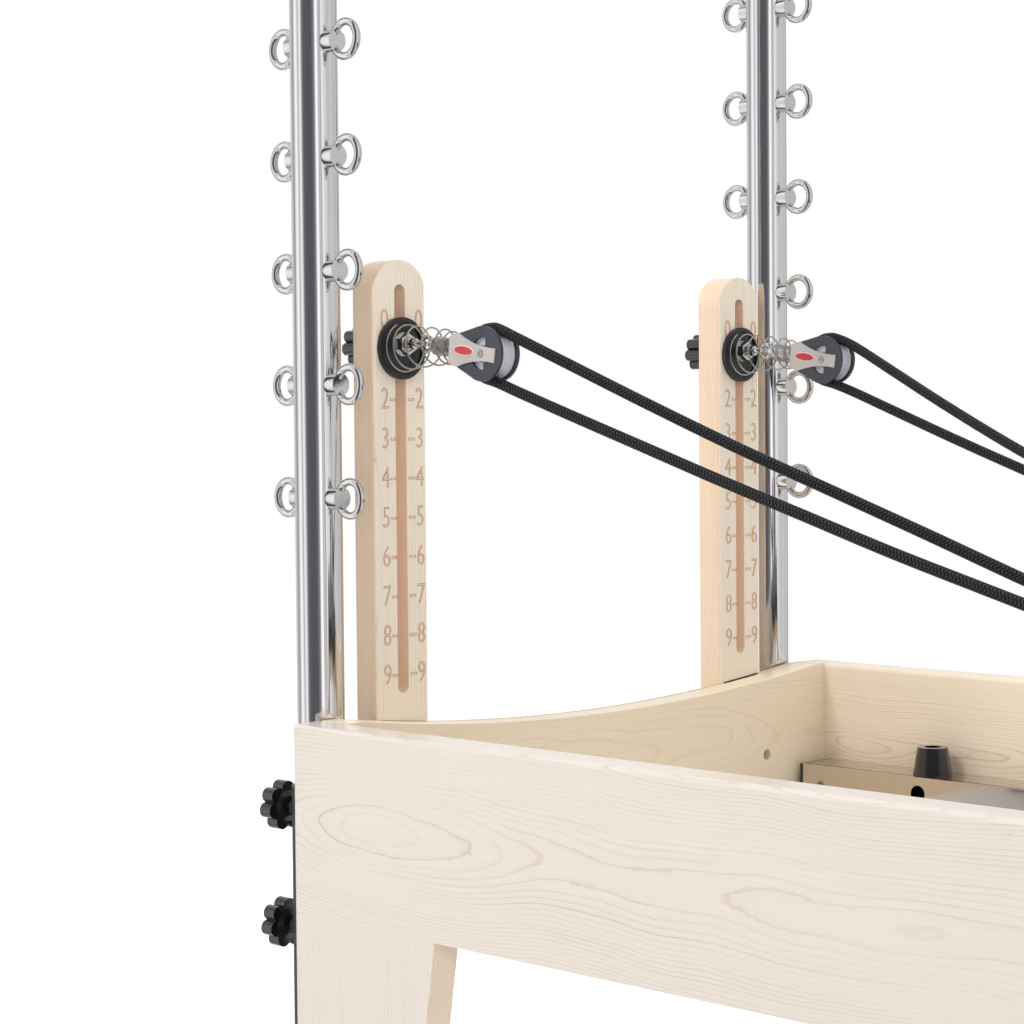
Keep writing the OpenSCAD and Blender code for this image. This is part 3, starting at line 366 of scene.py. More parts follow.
def vinyl():
    """Soft upholstery vinyl with a pebbled grain."""
    paint = Paint("upholstery_vinyl", srgb(52, 54, 60), 0.48)
    cells = paint.node("ShaderNodeTexVoronoi", feature="SMOOTH_F1", Scale=520.0)
    paint.link(paint.place(), cells.inputs["Vector"])
    cloud = paint.noise(paint.place((7, 7, 7)), 1.0)
    paint.colour(paint.mix(cloud, srgb(46, 48, 54), srgb(62, 64, 70)))
    paint.roughness(cloud, 0.42, 0.55)
    paint.bump(cells.outputs["Distance"], 0.0003)
    return paint.material


# Tones of the wood
RAIL_TONE = srgb(218, 211, 203)
FAR_TONE = srgb(242, 229, 208)
RISER_TONE = srgb(241, 230, 213)
# Painted shade: warmer, darker tones for the risers' faces that don't look along x and for their slot walls, as
# those faces look in shade
RISER_SHADE_TONE = srgb(241, 216, 188)
SLOT_SHADE_TONE = srgb(240, 215, 191)
# Painted shade: a warmer tone for the legs' faces that look along x, as they look in shade
LEG_SHADE_TONE = srgb(232, 216, 196)
PANEL_TONE = srgb(239, 224, 198)
BIRCH_TONE = srgb(222, 200, 168)

# Places of the pith beside each kind of board, in metres
RAIL_PITH = (-UPRIGHT_Y, RAIL_TOP - 0.08)
HEAD_PANEL_PITH = (PANEL_LOW.x - 0.06, 0.33)
FOOT_PANEL_PITH = (-HEAD_PANEL_PITH[0], HEAD_PANEL_PITH[1])
HEAD_LEG_PITH = (HEAD_X - 0.2, -UPRIGHT_Y - 0.2)
FOOT_LEG_PITH = (-HEAD_LEG_PITH[0], HEAD_LEG_PITH[1])
RISER_PITH = (HEAD_X - 0.11, -RISER_Y - 0.1)
DOWEL_PITH = (0.0, 0.3)
BIRCH_PITH = (0.0, 0.1)

WOOD = {
    "near_side_rail": maple("maple_near_rail", "X", RAIL_PITH, RAIL_TONE, 3.1, 1.15),
    "far_side_rail": maple("maple_far_rail", "X", RAIL_PITH, FAR_TONE, 7.9, 1.5),
    "head_panel": maple("maple_head_panel", "Y", HEAD_PANEL_PITH, PANEL_TONE, 1.3, 0.9),
    "foot_panel": maple("maple_foot_panel", "Y", FOOT_PANEL_PITH, PANEL_TONE, 4.7, 0.9),
    "head_legs": maple("maple_head_legs", "Z", HEAD_LEG_PITH, RAIL_TONE, 5.3, 0.9),
    "foot_legs": maple("maple_foot_legs", "Z", FOOT_LEG_PITH, RAIL_TONE, 8.6, 0.9),
    "near_riser": maple("maple_near_riser", "Z", RISER_PITH, RISER_TONE, 2.2, 1.1),
    "far_riser": maple("maple_far_riser", "Z", RISER_PITH, RISER_TONE, 6.4, 1.1),
    "frame_dowels": maple("maple_dowels", "Y", DOWEL_PITH, FAR_TONE, 9.2, 0.4),
    "carriage_frame": maple("birch_board", "X", BIRCH_PITH, BIRCH_TONE, 5.9, 0.5),
}
CHROME = chrome()
RING_STEEL = bright_steel("ring_steel", srgb(212, 210, 208), 0.07, 0.15)
BOLT_STEEL = bright_steel("bolt_steel", srgb(176, 172, 166), 0.2, 0.4)
SPRING_WIRE = bright_steel("spring_wire", srgb(182, 177, 170), 0.08, 0.2, 60)
SLATE_STEEL = bright_steel("slate_steel", srgb(70, 72, 78), 0.35, 0.5, 40)
GREY_STEEL = bright_steel("grey_steel", srgb(140, 142, 146), 0.35, 0.5, 40)
ALUMINIUM = bright_steel("track_aluminium", srgb(216, 204, 194), 0.05, 0.1, 30)
KNOB_BLACK = moulded("knob_black", srgb(20, 20, 22), 0.24, 400, 0.00003, 0.5)
DISC_BLACK = moulded("disc_black", srgb(18, 19, 22), 0.38, 700, 0.00006, 0.1)
RUBBER = moulded("rubber_black", srgb(28, 28, 30), 0.6, 900, 0.0001)
STOP_RUBBER = moulded("stop_rubber", srgb(14, 14, 18), 0.16, 300, 0.00001, 0.7)
FOAM = moulded("grip_foam", srgb(34, 34, 37), 0.8, 1200, 0.0002)
SLATE = moulded("cheek_slate", srgb(53, 54, 62), 0.42, 700, 0.00006)
YOKE_STEEL = bright_steel("yoke_steel", srgb(168, 166, 166), 0.12, 0.28)
PLATE = moulded("plate_grey", srgb(168, 162, 158), 0.4, 900, 0.00004)
LILAC = moulded("sheave_lilac", srgb(196, 193, 204), 0.35, 500, 0.00004)
WHEEL = moulded("wheel_grey", srgb(96, 97, 100), 0.45, 400, 0.00006)
RED = moulded("badge_red", srgb(172, 16, 20), 0.25, 500, 0.00003, 0.5)
BADGE_RIM = moulded("badge_rim", srgb(205, 200, 196), 0.35, 500, 0.00003)
BRAID = braided("rope_braid")
WEBBING = woven("loop_webbing", srgb(24, 24, 26), 900.0, 0.0003)
VINYL = vinyl()
INK = moulded("engraved_brown", srgb(168, 100, 58), 0.6, 800, 0.00003)

METAL_AND_PLASTIC = {
    "tower_crossbar": CHROME, "footbar": CHROME, "frame_screws": BOLT_STEEL, "riser_bolts": BOLT_STEEL,
    "footbar_brackets": BOLT_STEEL, "carriage_posts": BOLT_STEEL, "headrest_board": GREY_STEEL,
    "spring_bar": GREY_STEEL, "track_end_caps": KNOB_BLACK, "track_stops": STOP_RUBBER,
    "leg_feet": RUBBER, "footbar_grip": FOAM, "head_wheels": WHEEL, "foot_wheels": WHEEL,
}
ON_EACH_SIDE = {
    "upright": CHROME, "eyebolts": RING_STEEL, "tower_socket": SLATE_STEEL, "track": ALUMINIUM,
    "upper_clamp_knob": KNOB_BLACK, "lower_clamp_knob": KNOB_BLACK, "height_knob": KNOB_BLACK,
    "guide_disc": DISC_BLACK, "pulley_stud": RING_STEEL, "swivel_link": RING_STEEL,
    "pulley_block": SLATE, "cheek_plate": PLATE, "sheave": LILAC, "hand_loop": WEBBING,
}


def dress_nodes():
    """Gives each hard node its material."""
    materials = {**WOOD, **METAL_AND_PLASTIC}
    for side in SIDES:
        materials.update({f"{side}_{name}": material for name, material in ON_EACH_SIDE.items()})
    for name, material in materials.items():
        nodes[name].data.materials.clear()
        nodes[name].data.materials.append(material)


def repaint(name, material, chosen):
    """Gives a node's faces another material where chosen says so, from their corners and normal."""
    node = nodes[name]
    node.data.materials.append(material)
    slot_index = len(node.data.materials) - 1
    turn = node.matrix_world.to_3x3()
    for polygon in node.data.polygons:
        corners = [node.matrix_world @ node.data.vertices[i].co for i in polygon.vertices]
        if chosen(corners, turn @ polygon.normal):
            polygon.material_index = slot_index


# How far the bare yoke reaches from the block's rear end, and a slot wall from the slot's middle, in metres
YOKE_REACH = 0.049
SLOT_REACH = 0.0072


def bare_yoke(side):
    """The yoke that holds the swivel is bare metal, ahead of the painted cheeks."""
    cheek_start = AXLE.x - BLOCK_REACH + YOKE_REACH
    repaint(side + "_pulley_block", YOKE_STEEL,
            lambda corners, facing: max(corner.x for corner in corners) < cheek_start)


def sawn_riser(side):
    """Painted shade: a riser's faces that don't look along x, its sides, top and slot walls, get warmer and
    darker tones than its front and back, as faces in shade look.
    """
    centre = on_side(RISER_Y, side)

    def is_side(corners, facing):
        return abs(facing.x) < 0.5

    def is_slot(corners, facing):
        return is_side(corners, facing) and all(abs(corner.y - centre) < SLOT_REACH for corner in corners)

    repaint(side + "_riser", maple("riser_shade_" + side, "Z", RISER_PITH, RISER_SHADE_TONE, 3.7, 1.0), is_side)
    repaint(side + "_riser", maple("riser_slot_shade_" + side, "Z", RISER_PITH, SLOT_SHADE_TONE, 4.4, 0.8), is_slot)


def sawn_legs(name):
    """Painted shade: the legs' faces that look along x get a warmer tone than their fronts, as those sides look
    in shade.
    """
    repaint(name, maple(name + "_side", "Z", HEAD_LEG_PITH, LEG_SHADE_TONE, 6.1, 0.9),
            lambda corners, facing: abs(facing.x) > 0.7)


# Widths of the small rounded edges on the CAD pieces, in metres, by the end of their names
EDGE_ROUNDING = {"tower_socket": 0.0006, "clamp_knob": 0.0012, "height_knob": 0.001, "guide_disc": 0.0005,
                 "pulley_block": 0.0005, "cheek_plate": 0.0003, "pulley_stud": 0.0003, "track_stops": 0.0008,
                 "legs": 0.0015, "foot_panel": 0.0015, "footbar_grip": 0.002, "sheave": 0.0003}


def round_edges(piece, width):
    rounding = piece.modifiers.new("edge", "BEVEL")
    rounding.width = width
    rounding.segments = 2
    rounding.limit_method = "ANGLE"
    rounding.angle_limit = math.radians(40)
    rounding.harden_normals = True


dress_nodes()
for side in SIDES:
    bare_yoke(side)
for side in SIDES:
    sawn_riser(side)
for name in ("head_legs", "foot_legs"):
    sawn_legs(name)
for name, node in nodes.items():
    for ending, width in EDGE_ROUNDING.items():
        if name.endswith(ending):
            round_edges(node, width)


# Shapes


def mesh_object(name, points, faces, material):
    mesh = bpy.data.meshes.new(name)
    mesh.from_pydata([tuple(p) for p in points], [], faces)
    mesh.materials.append(material)
    for polygon in mesh.polygons:
        polygon.use_smooth = True
    made = bpy.data.objects.new(name, mesh)
    bpy.context.collection.objects.link(made)
    return made


def smooth_path(points, step):
    """A Catmull-Rom curve through the points, at about the given step."""
    padded = [points[0] * 2 - points[1]] + list(points) + [points[-1] * 2 - points[-2]]
    path = []
    for a, b, c, d in zip(padded, padded[1:], padded[2:], padded[3:]):
        count = max(1, round((c - b).length / step))
        for i in range(count):
            t = i / count
            path.append(0.5 * (2 * b + (c - a) * t + (2 * a - 5 * b + 4 * c - d) * t * t
                               + (3 * b - a - 3 * c + d) * t * t * t))
    return path + [points[-1]]


def path_length(path):
    return sum((b - a).length for a, b in zip(path, path[1:]))


def joined_rings(ring_count, sides):
    """Faces between rings of points that follow one another, with a cap on each end."""
    faces = []
    for i in range(ring_count - 1):
        for k in range(sides):
            a, b = i * sides + k, i * sides + (k + 1) % sides
            faces.append((a, b, b + sides, a + sides))
    last = (ring_count - 1) * sides
    faces.append(tuple(reversed(range(sides))))
    faces.append(tuple(last + k for k in range(sides)))
    return faces


def wrap_uv(mesh, sides, spans):
    """A UV map with turns round a tube across and the given spans along it."""
    layer = mesh.uv_layers.new(name="UVMap")
    for polygon in mesh.polygons:
        corners = [mesh.loops[i].vertex_index for i in polygon.loop_indices]
        wraps = any(c % sides == 0 for c in corners) and any(c % sides == sides - 1 for c in corners)
        for loop, corner in zip(polygon.loop_indices, corners):
            around = corner % sides
            turn = 1.0 if wraps and around == 0 else around / sides
            layer.data[loop].uv = (turn, spans[corner // sides])


def tube(name, path, radius, sides, material, reference=Vector((0, 1, 0)), travelled=0.0):
    """A closed tube along a path, with a UV map in turns round it and circumferences along it."""
    points, spans = [], []
    side_axis = None
    for i, centre in enumerate(path):
        ahead = path[min(i + 1, len(path) - 1)] - path[max(i - 1, 0)]
        ahead.normalize()
        wanted = reference if side_axis is None else side_axis
        side_axis = (wanted - wanted.dot(ahead) * ahead).normalized()
        up_axis = ahead.cross(side_axis)
        if i:
            travelled += (centre - path[i - 1]).length
        spans.append(travelled / (WHOLE * radius))
        for k in range(sides):
            angle = WHOLE * k / sides
            points.append(centre + radius * (math.cos(angle) * side_axis + math.sin(angle) * up_axis))
    made = mesh_object(name, points, joined_rings(len(path), sides), material)
    wrap_uv(made.data, sides, spans)
    return made


def ellipse(length, height, count, x=0.0, y=0.0):
    """Points of an ellipse round x and y."""
    angles = [WHOLE * i / count for i in range(count)]
    return [(x + length / 2 * math.cos(angle), y + height / 2 * math.sin(angle)) for angle in angles]


def to_mesh(made, material):
    """A curve or text object as a mesh object of the same name, with its place kept."""
    bpy.context.view_layer.update()
    mesh = bpy.data.meshes.new_from_object(made.evaluated_get(bpy.context.evaluated_depsgraph_get()))
    mesh.transform(made.matrix_world)
    name = made.name
    bpy.data.objects.remove(made)
    mesh.materials.clear()
    mesh.materials.append(material)
    kept = bpy.data.objects.new(name, mesh)
    bpy.context.collection.objects.link(kept)
    return kept


def extruded(name, outline, thickness, material, holes=(), bevel=0.0):
    """A plate in the XY plane from an outline with holes, rising along Z, with rounded edges."""
    curve = bpy.data.curves.new(name, "CURVE")
    curve.dimensions = "2D"
    curve.fill_mode = "BOTH"
    for ring in (outline,) + tuple(holes):
        spline = curve.splines.new("POLY")
        spline.points.add(len(ring) - 1)
        for point, (x, y) in zip(spline.points, ring):
            point.co = (x, y, 0, 1)
        spline.use_cyclic_u = True
    curve.extrude = thickness / 2 - bevel
    curve.bevel_depth = bevel
    curve.bevel_resolution = 2
    curve.offset = -bevel
    made = bpy.data.objects.new(name, curve)
    bpy.context.collection.objects.link(made)
    made.location = (0, 0, thickness / 2)
    return to_mesh(made, material)


def set_in(made, matrix):
    """Moves a mesh's points by a matrix."""
    made.data.transform(matrix)
    made.data.update()


# The head panel's rounded top: the quarter round, its steps, and the depth that the dip keeps to, in metres
ROUND_OVER = 0.0065
ROUND_STEPS = 6
DEEPEST_TOP = 0.0225


def rounded_board(node, name):
    """The node's own form, with its top falling away to both faces in quarter rounds."""
    board = bmesh.new()
    board.from_mesh(nodes[node].data)
    board.transform(nodes[node].matrix_world)
    low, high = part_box(node)
    for k in range(1, ROUND_STEPS + 1):
        reach = ROUND_OVER * (1 - math.cos(QUARTER * k / ROUND_STEPS))
        for plane_x in (low.x + reach, high.x - reach):
            whole = board.verts[:] + board.edges[:] + board.faces[:]
            bmesh.ops.bisect_plane(board, geom=whole, plane_co=(plane_x, 0, 0), plane_no=(1, 0, 0))
    board.normal_update()
    facing_up = [face for face in board.faces if face.normal.z > 0.9]
    top = {corner for face in facing_up for corner in face.verts if corner.co.z > high.z - DEEPEST_TOP}
    for corner in top:
        inset = ROUND_OVER - min(corner.co.x - low.x, high.x - corner.co.x, ROUND_OVER)
        corner.co.z -= ROUND_OVER - math.sqrt(max(0, ROUND_OVER ** 2 - inset ** 2))
    board.verts.index_update()
    points = [corner.co.copy() for corner in board.verts]
    faces = [tuple(corner.index for corner in face.verts) for face in board.faces]
    board.free()
    made = mesh_object(name, points, faces, WOOD[node])
    made.data.set_sharp_from_angle(angle=math.radians(30))
    return made


panel = rounded_board("head_panel", "head_panel_rounded")
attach(panel, "frame")
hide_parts("head_panel")

# Ropes: the route of part.scad from the carriage round the sheave to the hand loop, in millimetres from
# the upright's axis at the rail top
ROUTE = [(852, 141, 62), (780, 134, 84), (700, 127, 109), (620, 119, 134), (540, 112, 159), (460, 105, 186),
         (380, 98, 213), (300, 91, 241), (230, 83, 266), (176, 77.5, 285.5), (150, 77, 294.5),
         (135, 77, 298.5), (126.5, 77, 303), (121, 77, 310.5), (119, 77, 319.5), (121, 77, 329),
         (126.5, 77, 336.5), (134.5, 77, 341), (143, 77, 342), (151, 77, 341), (174, 77.5, 332),
         (230, 90, 306), (300, 106, 273.5), (380, 123, 238), (460, 139, 205), (540, 155, 172),
         (620, 170.5, 138.5), (662, 178.2, 122.5)]
ROPE_SIDES = 20
ROPE_STEP = 0.003

# Where a strand hands over to the next body: a point of the route, and metres from the upright
LOWER_SPLIT = 7
CARRIER_REACH = 0.226
LINK_REACH = 0.167
BLOCK_END = 0.149


def make_ropes(side):
    """A rope in lengths, each its own tube: to the sheave, round it, and back on the upper strand."""
    points = [from_upright(*p, side) for p in ROUTE]
    path = smooth_path(points, ROPE_STEP)
    turn = min(range(len(path)), key=lambda i: path[i].x)
    lower_strand, upper_strand = range(turn), range(turn, len(path))

    def cut(strand, x):
        return min(strand, key=lambda i: abs(path[i].x - x))

    split_x = points[LOWER_SPLIT].x
    carrier_x, link_x, block_x = (UPRIGHT_X + reach for reach in (CARRIER_REACH, LINK_REACH, BLOCK_END))
    cuts = [0] + [cut(lower_strand, x) for x in (split_x, carrier_x, link_x)]
    cuts += [cut(upper_strand, x) for x in (link_x, carrier_x, split_x)] + [len(path) - 1]
    carrier, link, block = (side + ending for ending in ("_carrier", "_link", "_block"))
    end = ("end", "frame", "carriage", split_x, None)
    reach = ("reach", "frame", carrier, split_x, carrier_x)
    nod = ("nod", carrier, link, carrier_x, link_x)
    around = ("turn", link, block, link_x, block_x)
    lengths = [end, reach, nod, around, nod, reach, end]
    travelled = 0.0
    for order, (part, first, last, start_x, end_x) in enumerate(lengths):
        run = path[cuts[order]:cuts[order + 1] + 1]
        length = path_length(run)
        strand = "" if part == "turn" else "lower_" if order < 3 else "upper_"
        piece = tube(f"{side}_rope_{strand}{part}", run, ROPE_RADIUS, ROPE_SIDES, BRAID, travelled=travelled)
        travelled += length
        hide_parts(side + "_rope")
        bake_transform(piece)


for side in SIDES:
    make_ropes(side)

# Conical springs between the guide discs and the pulley blocks, in metres
CONE_TURNS = 5.5
CONE_START_ANGLE = math.radians(110)
CONE_STEPS = 264
CONE_WIRE = 0.0008
CONE_RADII = (0.0226, 0.0135)
CONE_NARROWING = 0.8
CONE_START = 0.0053
CONE_LENGTH = 0.066
CONE_CLOSENESS = 0.1
DISC_DROP = 0.0035
CONE_SAG = 0.0055


def cone_path(side):
    """The wire's path, closer coiled at both ends, from the disc below the stud to the drooping block."""
    centre = Vector((STUD.x, on_side(STUD.y, side), STUD.z))
    wide, narrow = CONE_RADII
    points = []
    for i in range(CONE_STEPS + 1):
        t = i / CONE_STEPS
        angle = WHOLE * CONE_TURNS * t + CONE_START_ANGLE
        radius = wide + (narrow - wide) * t ** CONE_NARROWING
        x = CONE_START + CONE_LENGTH * (t - CONE_CLOSENESS * math.sin(WHOLE * t))
        drop = DISC_DROP * (1 - t) + CONE_SAG * t * t
        points.append(centre + Vector((x, radius * math.cos(angle), radius * math.sin(angle) - drop)))
    return points


for side in SIDES:
    spring = tube(side + "_cone_coil", cone_path(side), CONE_WIRE, 10, SPRING_WIRE, Vector((1, 0, 0)))
    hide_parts(side + "_cone_spring")
    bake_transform(spring)

# Pulley block fittings, drawn in the block's own plane: x along the block, y up, z outwards, in metres
DROOP = math.radians(7.5)
BLOCK_FACE = 0.0115
PLATE_THICKNESS = 0.0014
BADGE_X = 0.0652
BADGE_Y = 0.0005
BADGE_COUNT = 24
SCREW_DIAMETER = 0.0068
HEX_DIAMETER = 0.0032


def plate_matrix(side):
    """From the drawing plane to the cheek plate's face that looks at the near side."""
    along = Vector((math.cos(DROOP), 0, -math.sin(DROOP)))
    out = Vector((0, -1, 0))
    up = out.cross(along)
    start = AXLE - along * BLOCK_REACH
    origin = Vector((start.x, on_side(AXLE.y, side) - BLOCK_FACE - PLATE_THICKNESS, start.z))
    return Matrix.Translation(origin) @ Matrix((along, up, out)).transposed().to_4x4()


def badge_part(name, length, height, thickness, material, bevel):
    return extruded(name, ellipse(length, height, BADGE_COUNT, BADGE_X, BADGE_Y), thickness, material,
                    bevel=bevel)


def make_fittings(side):
    """The plain oval badge with its rim, and the axle's socket screw."""
    rim = badge_part(side + "_badge_rim", 0.0244, 0.0091, 0.0007, BADGE_RIM, 0.0003)
    badge = badge_part(side + "_badge", 0.0224, 0.0073, 0.0012, RED, 0.0004)
    screw = extruded(side + "_axle_screw", ellipse(SCREW_DIAMETER, SCREW_DIAMETER, 32, BLOCK_REACH), 0.0009,
                     BOLT_STEEL, holes=[ellipse(HEX_DIAMETER, HEX_DIAMETER, 6, BLOCK_REACH)], bevel=0.0003)
    for piece, name in ((rim, "plate_grey"), (badge, "plate_grey"), (screw, "bright_steel")):
        set_in(piece, plate_matrix(side))
        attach(piece, side + "_block")


for side in SIDES:
    make_fittings(side)

# The engraved scale on each riser's front face: hollow numerals and short marks, in metres
SCALE_TOP = RAIL_TOP + 0.3525
SCALE_PITCH = 0.0355
FACE_LIFT = 0.00005
FIGURE_SIZE = 0.0272
FIGURE_THINNING = -0.0005
FIGURE_NARROWING = 0.76
FIGURE_LINE = 0.00026
MARK_DROP = 0.0002
MARK_HALF = 0.0011
MARK_LINE = 0.0004
MARK_THICKNESS = 0.0002

# On each side of the slot: the figure's centre, and the mark's start and length, from the slot's middle
FIGURES = (("near", -0.0188, -0.0127, 0.006), ("far", 0.0228, 0.009, 0.0075))


def face_matrix(y, z):
    """From a drawing plane to the riser's front face, which looks along +X."""
    turn = Matrix(((0, 0, 1), (1, 0, 0), (0, 1, 0))).to_4x4()
    return Matrix.Translation((HEAD_X + FACE_LIFT, y, z)) @ turn


def numeral(name, digit):
    text = bpy.data.curves.new(name, "FONT")
    text.body = str(digit)
    text.size = FIGURE_SIZE
    text.offset = FIGURE_THINNING
    text.align_x = "CENTER"
    text.align_y = "CENTER"
    text.fill_mode = "NONE"
    text.bevel_depth = FIGURE_LINE
    text.bevel_resolution = 1
    text.resolution_u = 4
    made = bpy.data.objects.new(name, text)
    bpy.context.collection.objects.link(made)
    made.scale = (FIGURE_NARROWING, 1, 1)
    return to_mesh(made, INK)


def mark(name, length):
    """A hollow bar from x = 0, on both sides of y = 0."""
    def bar(inset):
        low, high = inset - MARK_HALF, MARK_HALF - inset
        return [(inset, low), (length - inset, low), (length - inset, high), (inset, high)]
    return extruded(name, bar(0), MARK_THICKNESS, INK, holes=[bar(MARK_LINE)])


def make_scale(side):
    centre = on_side(RISER_Y, side)
    for digit in range(10):
        z = SCALE_TOP - digit * SCALE_PITCH
        for label, offset, start, length in FIGURES:
            figure = numeral(f"{side}_scale_{digit}_{label}", digit)
            set_in(figure, face_matrix(centre + offset, z))
            dash = mark(f"{side}_mark_{digit}_{label}", length)
            set_in(dash, face_matrix(centre + start, z - MARK_DROP))
            for piece in (figure, dash):
                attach(piece, "frame")


for side in SIDES:
    make_scale(side)

# Carriage springs: close coils with a straight hook at each end, in metres
SPRING_PLACES = (-0.15, -0.05, 0.05, 0.15)
COIL_START = SPRING_LOW.x + 0.02
COIL_END = SPRING_HIGH.x - 0.015
COIL_TURNS = 92
STEPS_PER_TURN = 12
COIL_RADIUS = 0.0115
COIL_WIRE = 0.0014
HOOK_REACH = 0.006


def coil_path(y):
    """From hook to hook. The first and the last turn grow out of the spring's axis."""
    path = [Vector((SPRING_LOW.x, y, SPRING_Z)), Vector((COIL_START - HOOK_REACH, y, SPRING_Z))]
    steps = COIL_TURNS * STEPS_PER_TURN
    for i in range(steps + 1):
        t = i / steps
        angle = WHOLE * COIL_TURNS * t
        radius = COIL_RADIUS * min(1.0, t * COIL_TURNS, (1 - t) * COIL_TURNS)
        path.append(Vector((COIL_START + (COIL_END - COIL_START) * t, y + radius * math.sin(angle),
                            SPRING_Z + radius * math.cos(angle))))
    return path + [Vector((COIL_END + HOOK_REACH, y, SPRING_Z)), Vector((SPRING_HIGH.x, y, SPRING_Z))]


for index, y in enumerate(SPRING_PLACES):
    coil = tube(f"carriage_coil_{index}", coil_path(y), COIL_WIRE, 6, SPRING_WIRE)
    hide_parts("carriage_springs")
    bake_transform(coil)

# Upholstery: crowned pads with a piped seam, in metres
CORNER_POINTS = 9
CROWN = 0.005
CROWN_START = 0.955
CROWN_INSET = 0.012
SEAM_HEIGHT = 0.74
SEAM_INSET = -0.0002
PIPING_RADIUS = 0.0016
COVER = 0.002


def pad_levels(height):
    """(inset, height) rings of a pad's side, from its flat base to the start of its crown."""
    return [(0.006, 0), (0.0015, 0.001), (0.0005, 0.006), (0.0, height * 0.25), (0.0008, height * 0.5),
            (0.0, height * 0.68), (0.0012, height * 0.8), (0.005, height * 0.9),
            (CROWN_INSET, height * CROWN_START)]


def pad_ring(length, width, radius, inset, z):
    """A rectangle with rounded corners, drawn in by inset."""
    points = []
    for quarter in range(4):
        corner_x = (length / 2 - radius) * (1 if quarter in (0, 3) else -1)
        corner_y = (width / 2 - radius) * (1 if quarter < 2 else -1)
        for k in range(CORNER_POINTS):
            angle = QUARTER * (quarter + k / (CORNER_POINTS - 1))
            x, y = corner_x + radius * math.cos(angle), corner_y + radius * math.sin(angle)
            points.append(Vector((x * (1 - 2 * inset / length), y * (1 - 2 * inset / width), z)))
    return points


def pad(name, length, width, height, radius):
    """A closed pad centred on x and y, standing on z = 0, and its piping."""
    rings = [pad_ring(length, width, radius, inset, z) for inset, z in pad_levels(height)]
    top = pad_ring(length, width, radius, CROWN_INSET, 0)
    for share in (0.9, 0.75, 0.55, 0.35, 0.15):
        z = height * CROWN_START + CROWN * (1 - share * share)
        rings.append([Vector((p.x * share, p.y * share, z)) for p in top])
    points = [p for ring in rings for p in ring]
    cushion = mesh_object(name, points, joined_rings(len(rings), 4 * CORNER_POINTS), VINYL)
    finer = cushion.modifiers.new("finer", "SUBSURF")
    finer.levels = 1
    finer.render_levels = 1
    seam = pad_ring(length, width, radius, SEAM_INSET, height * SEAM_HEIGHT)
    piping = tube(name + "_piping", smooth_path(seam + [seam[0]], 0.01), PIPING_RADIUS, 8, VINYL,
                  Vector((0, 0, 1)))
    return cushion, piping


def seat(node, name, body, radius, upright=None):
    """A pad in a node's box, lying flat, or upright at a given (centre, width) along y."""
    low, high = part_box(node)
    size = high - low
    if upright is None:
        made = pad(name, size.x - COVER, size.y - COVER, size.z - CROWN, radius)
        matrix = Matrix.Translation(((low.x + high.x) / 2, (low.y + high.y) / 2, low.z))
    else:
        centre, width = upright
        made = pad(name, size.z - COVER, width - COVER, size.x - CROWN, radius)
        matrix = Matrix.Translation((low.x, centre, (low.z + high.z) / 2)) @ Matrix.Rotation(QUARTER, 4, "Y")
    for piece in made:
        set_in(piece, matrix)
        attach(piece, body)
    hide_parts(node)


SHOULDER_Y = -0.1015
SHOULDER_WIDTH = 0.112
seat("carriage_pad", "carriage_cushion", "carriage", 0.03)
seat("headrest", "headrest_cushion", "headrest_body", 0.045)
for side in SIDES:
    shoulder = (on_side(SHOULDER_Y, side), SHOULDER_WIDTH)
    seat("shoulder_pads", side + "_shoulder_cushion", "carriage", 0.024, shoulder)


# Stage: floor, world, lights and camera
FLOOR_HALF = 8
FLOOR_GLOW = 0.5


def make_floor():
    """A white floor that glows to the camera alone, so that it runs into the white background."""
    mesh = bpy.data.meshes.new("floor")
    corners = [(x * FLOOR_HALF, y * FLOOR_HALF, 0) for x, y in ((-1, -1), (1, -1), (1, 1), (-1, 1))]
    mesh.from_pydata(corners, [], [(0, 1, 2, 3)])
    floor = bpy.data.objects.new("floor", mesh)
    bpy.context.collection.objects.link(floor)
    paint = Paint("floor_white", shade_of(0.86), 0.85)
    paint.set("Emission Color", WHITE)
    rays = paint.node("ShaderNodeLightPath")
    glow = paint.math("MULTIPLY", rays.outputs["Is Camera Ray"], FLOOR_GLOW)
    paint.link(glow, paint.shader.inputs["Emission Strength"])
    mesh.materials.append(paint.material)
    floor.visible_glossy = False


# What bright metal reflects: (azimuth in degrees, level) round the horizon
STUDIO_BANDS = (
    (-180, 0.72), (-160, 0.36), (-152, 0.78), (-140, 1.3), (-129, 1.05), (-123, 0.5), (-114, 1.25),
    (-105, 0.8), (-99, 0.24), (-92, 0.15), (-78, 0.12), (-54, 0.12), (-44, 0.22), (-39, 0.36), (-35, 0.95),
    (-31, 1.35), (-25, 1.35), (-20, 0.52), (-15, 0.83), (-10, 0.44), (-4, 1.15), (5, 0.96), (15, 0.78),
    (32, 0.65), (38, 0.78), (58, 0.7), (74, 0.64), (84, 0.78), (95, 0.36), (110, 0.68), (140, 0.9),
    (180, 0.72))
SOFT_LEVEL = 0.58
DARK_BAND = 0.3
COOLING = 1.12


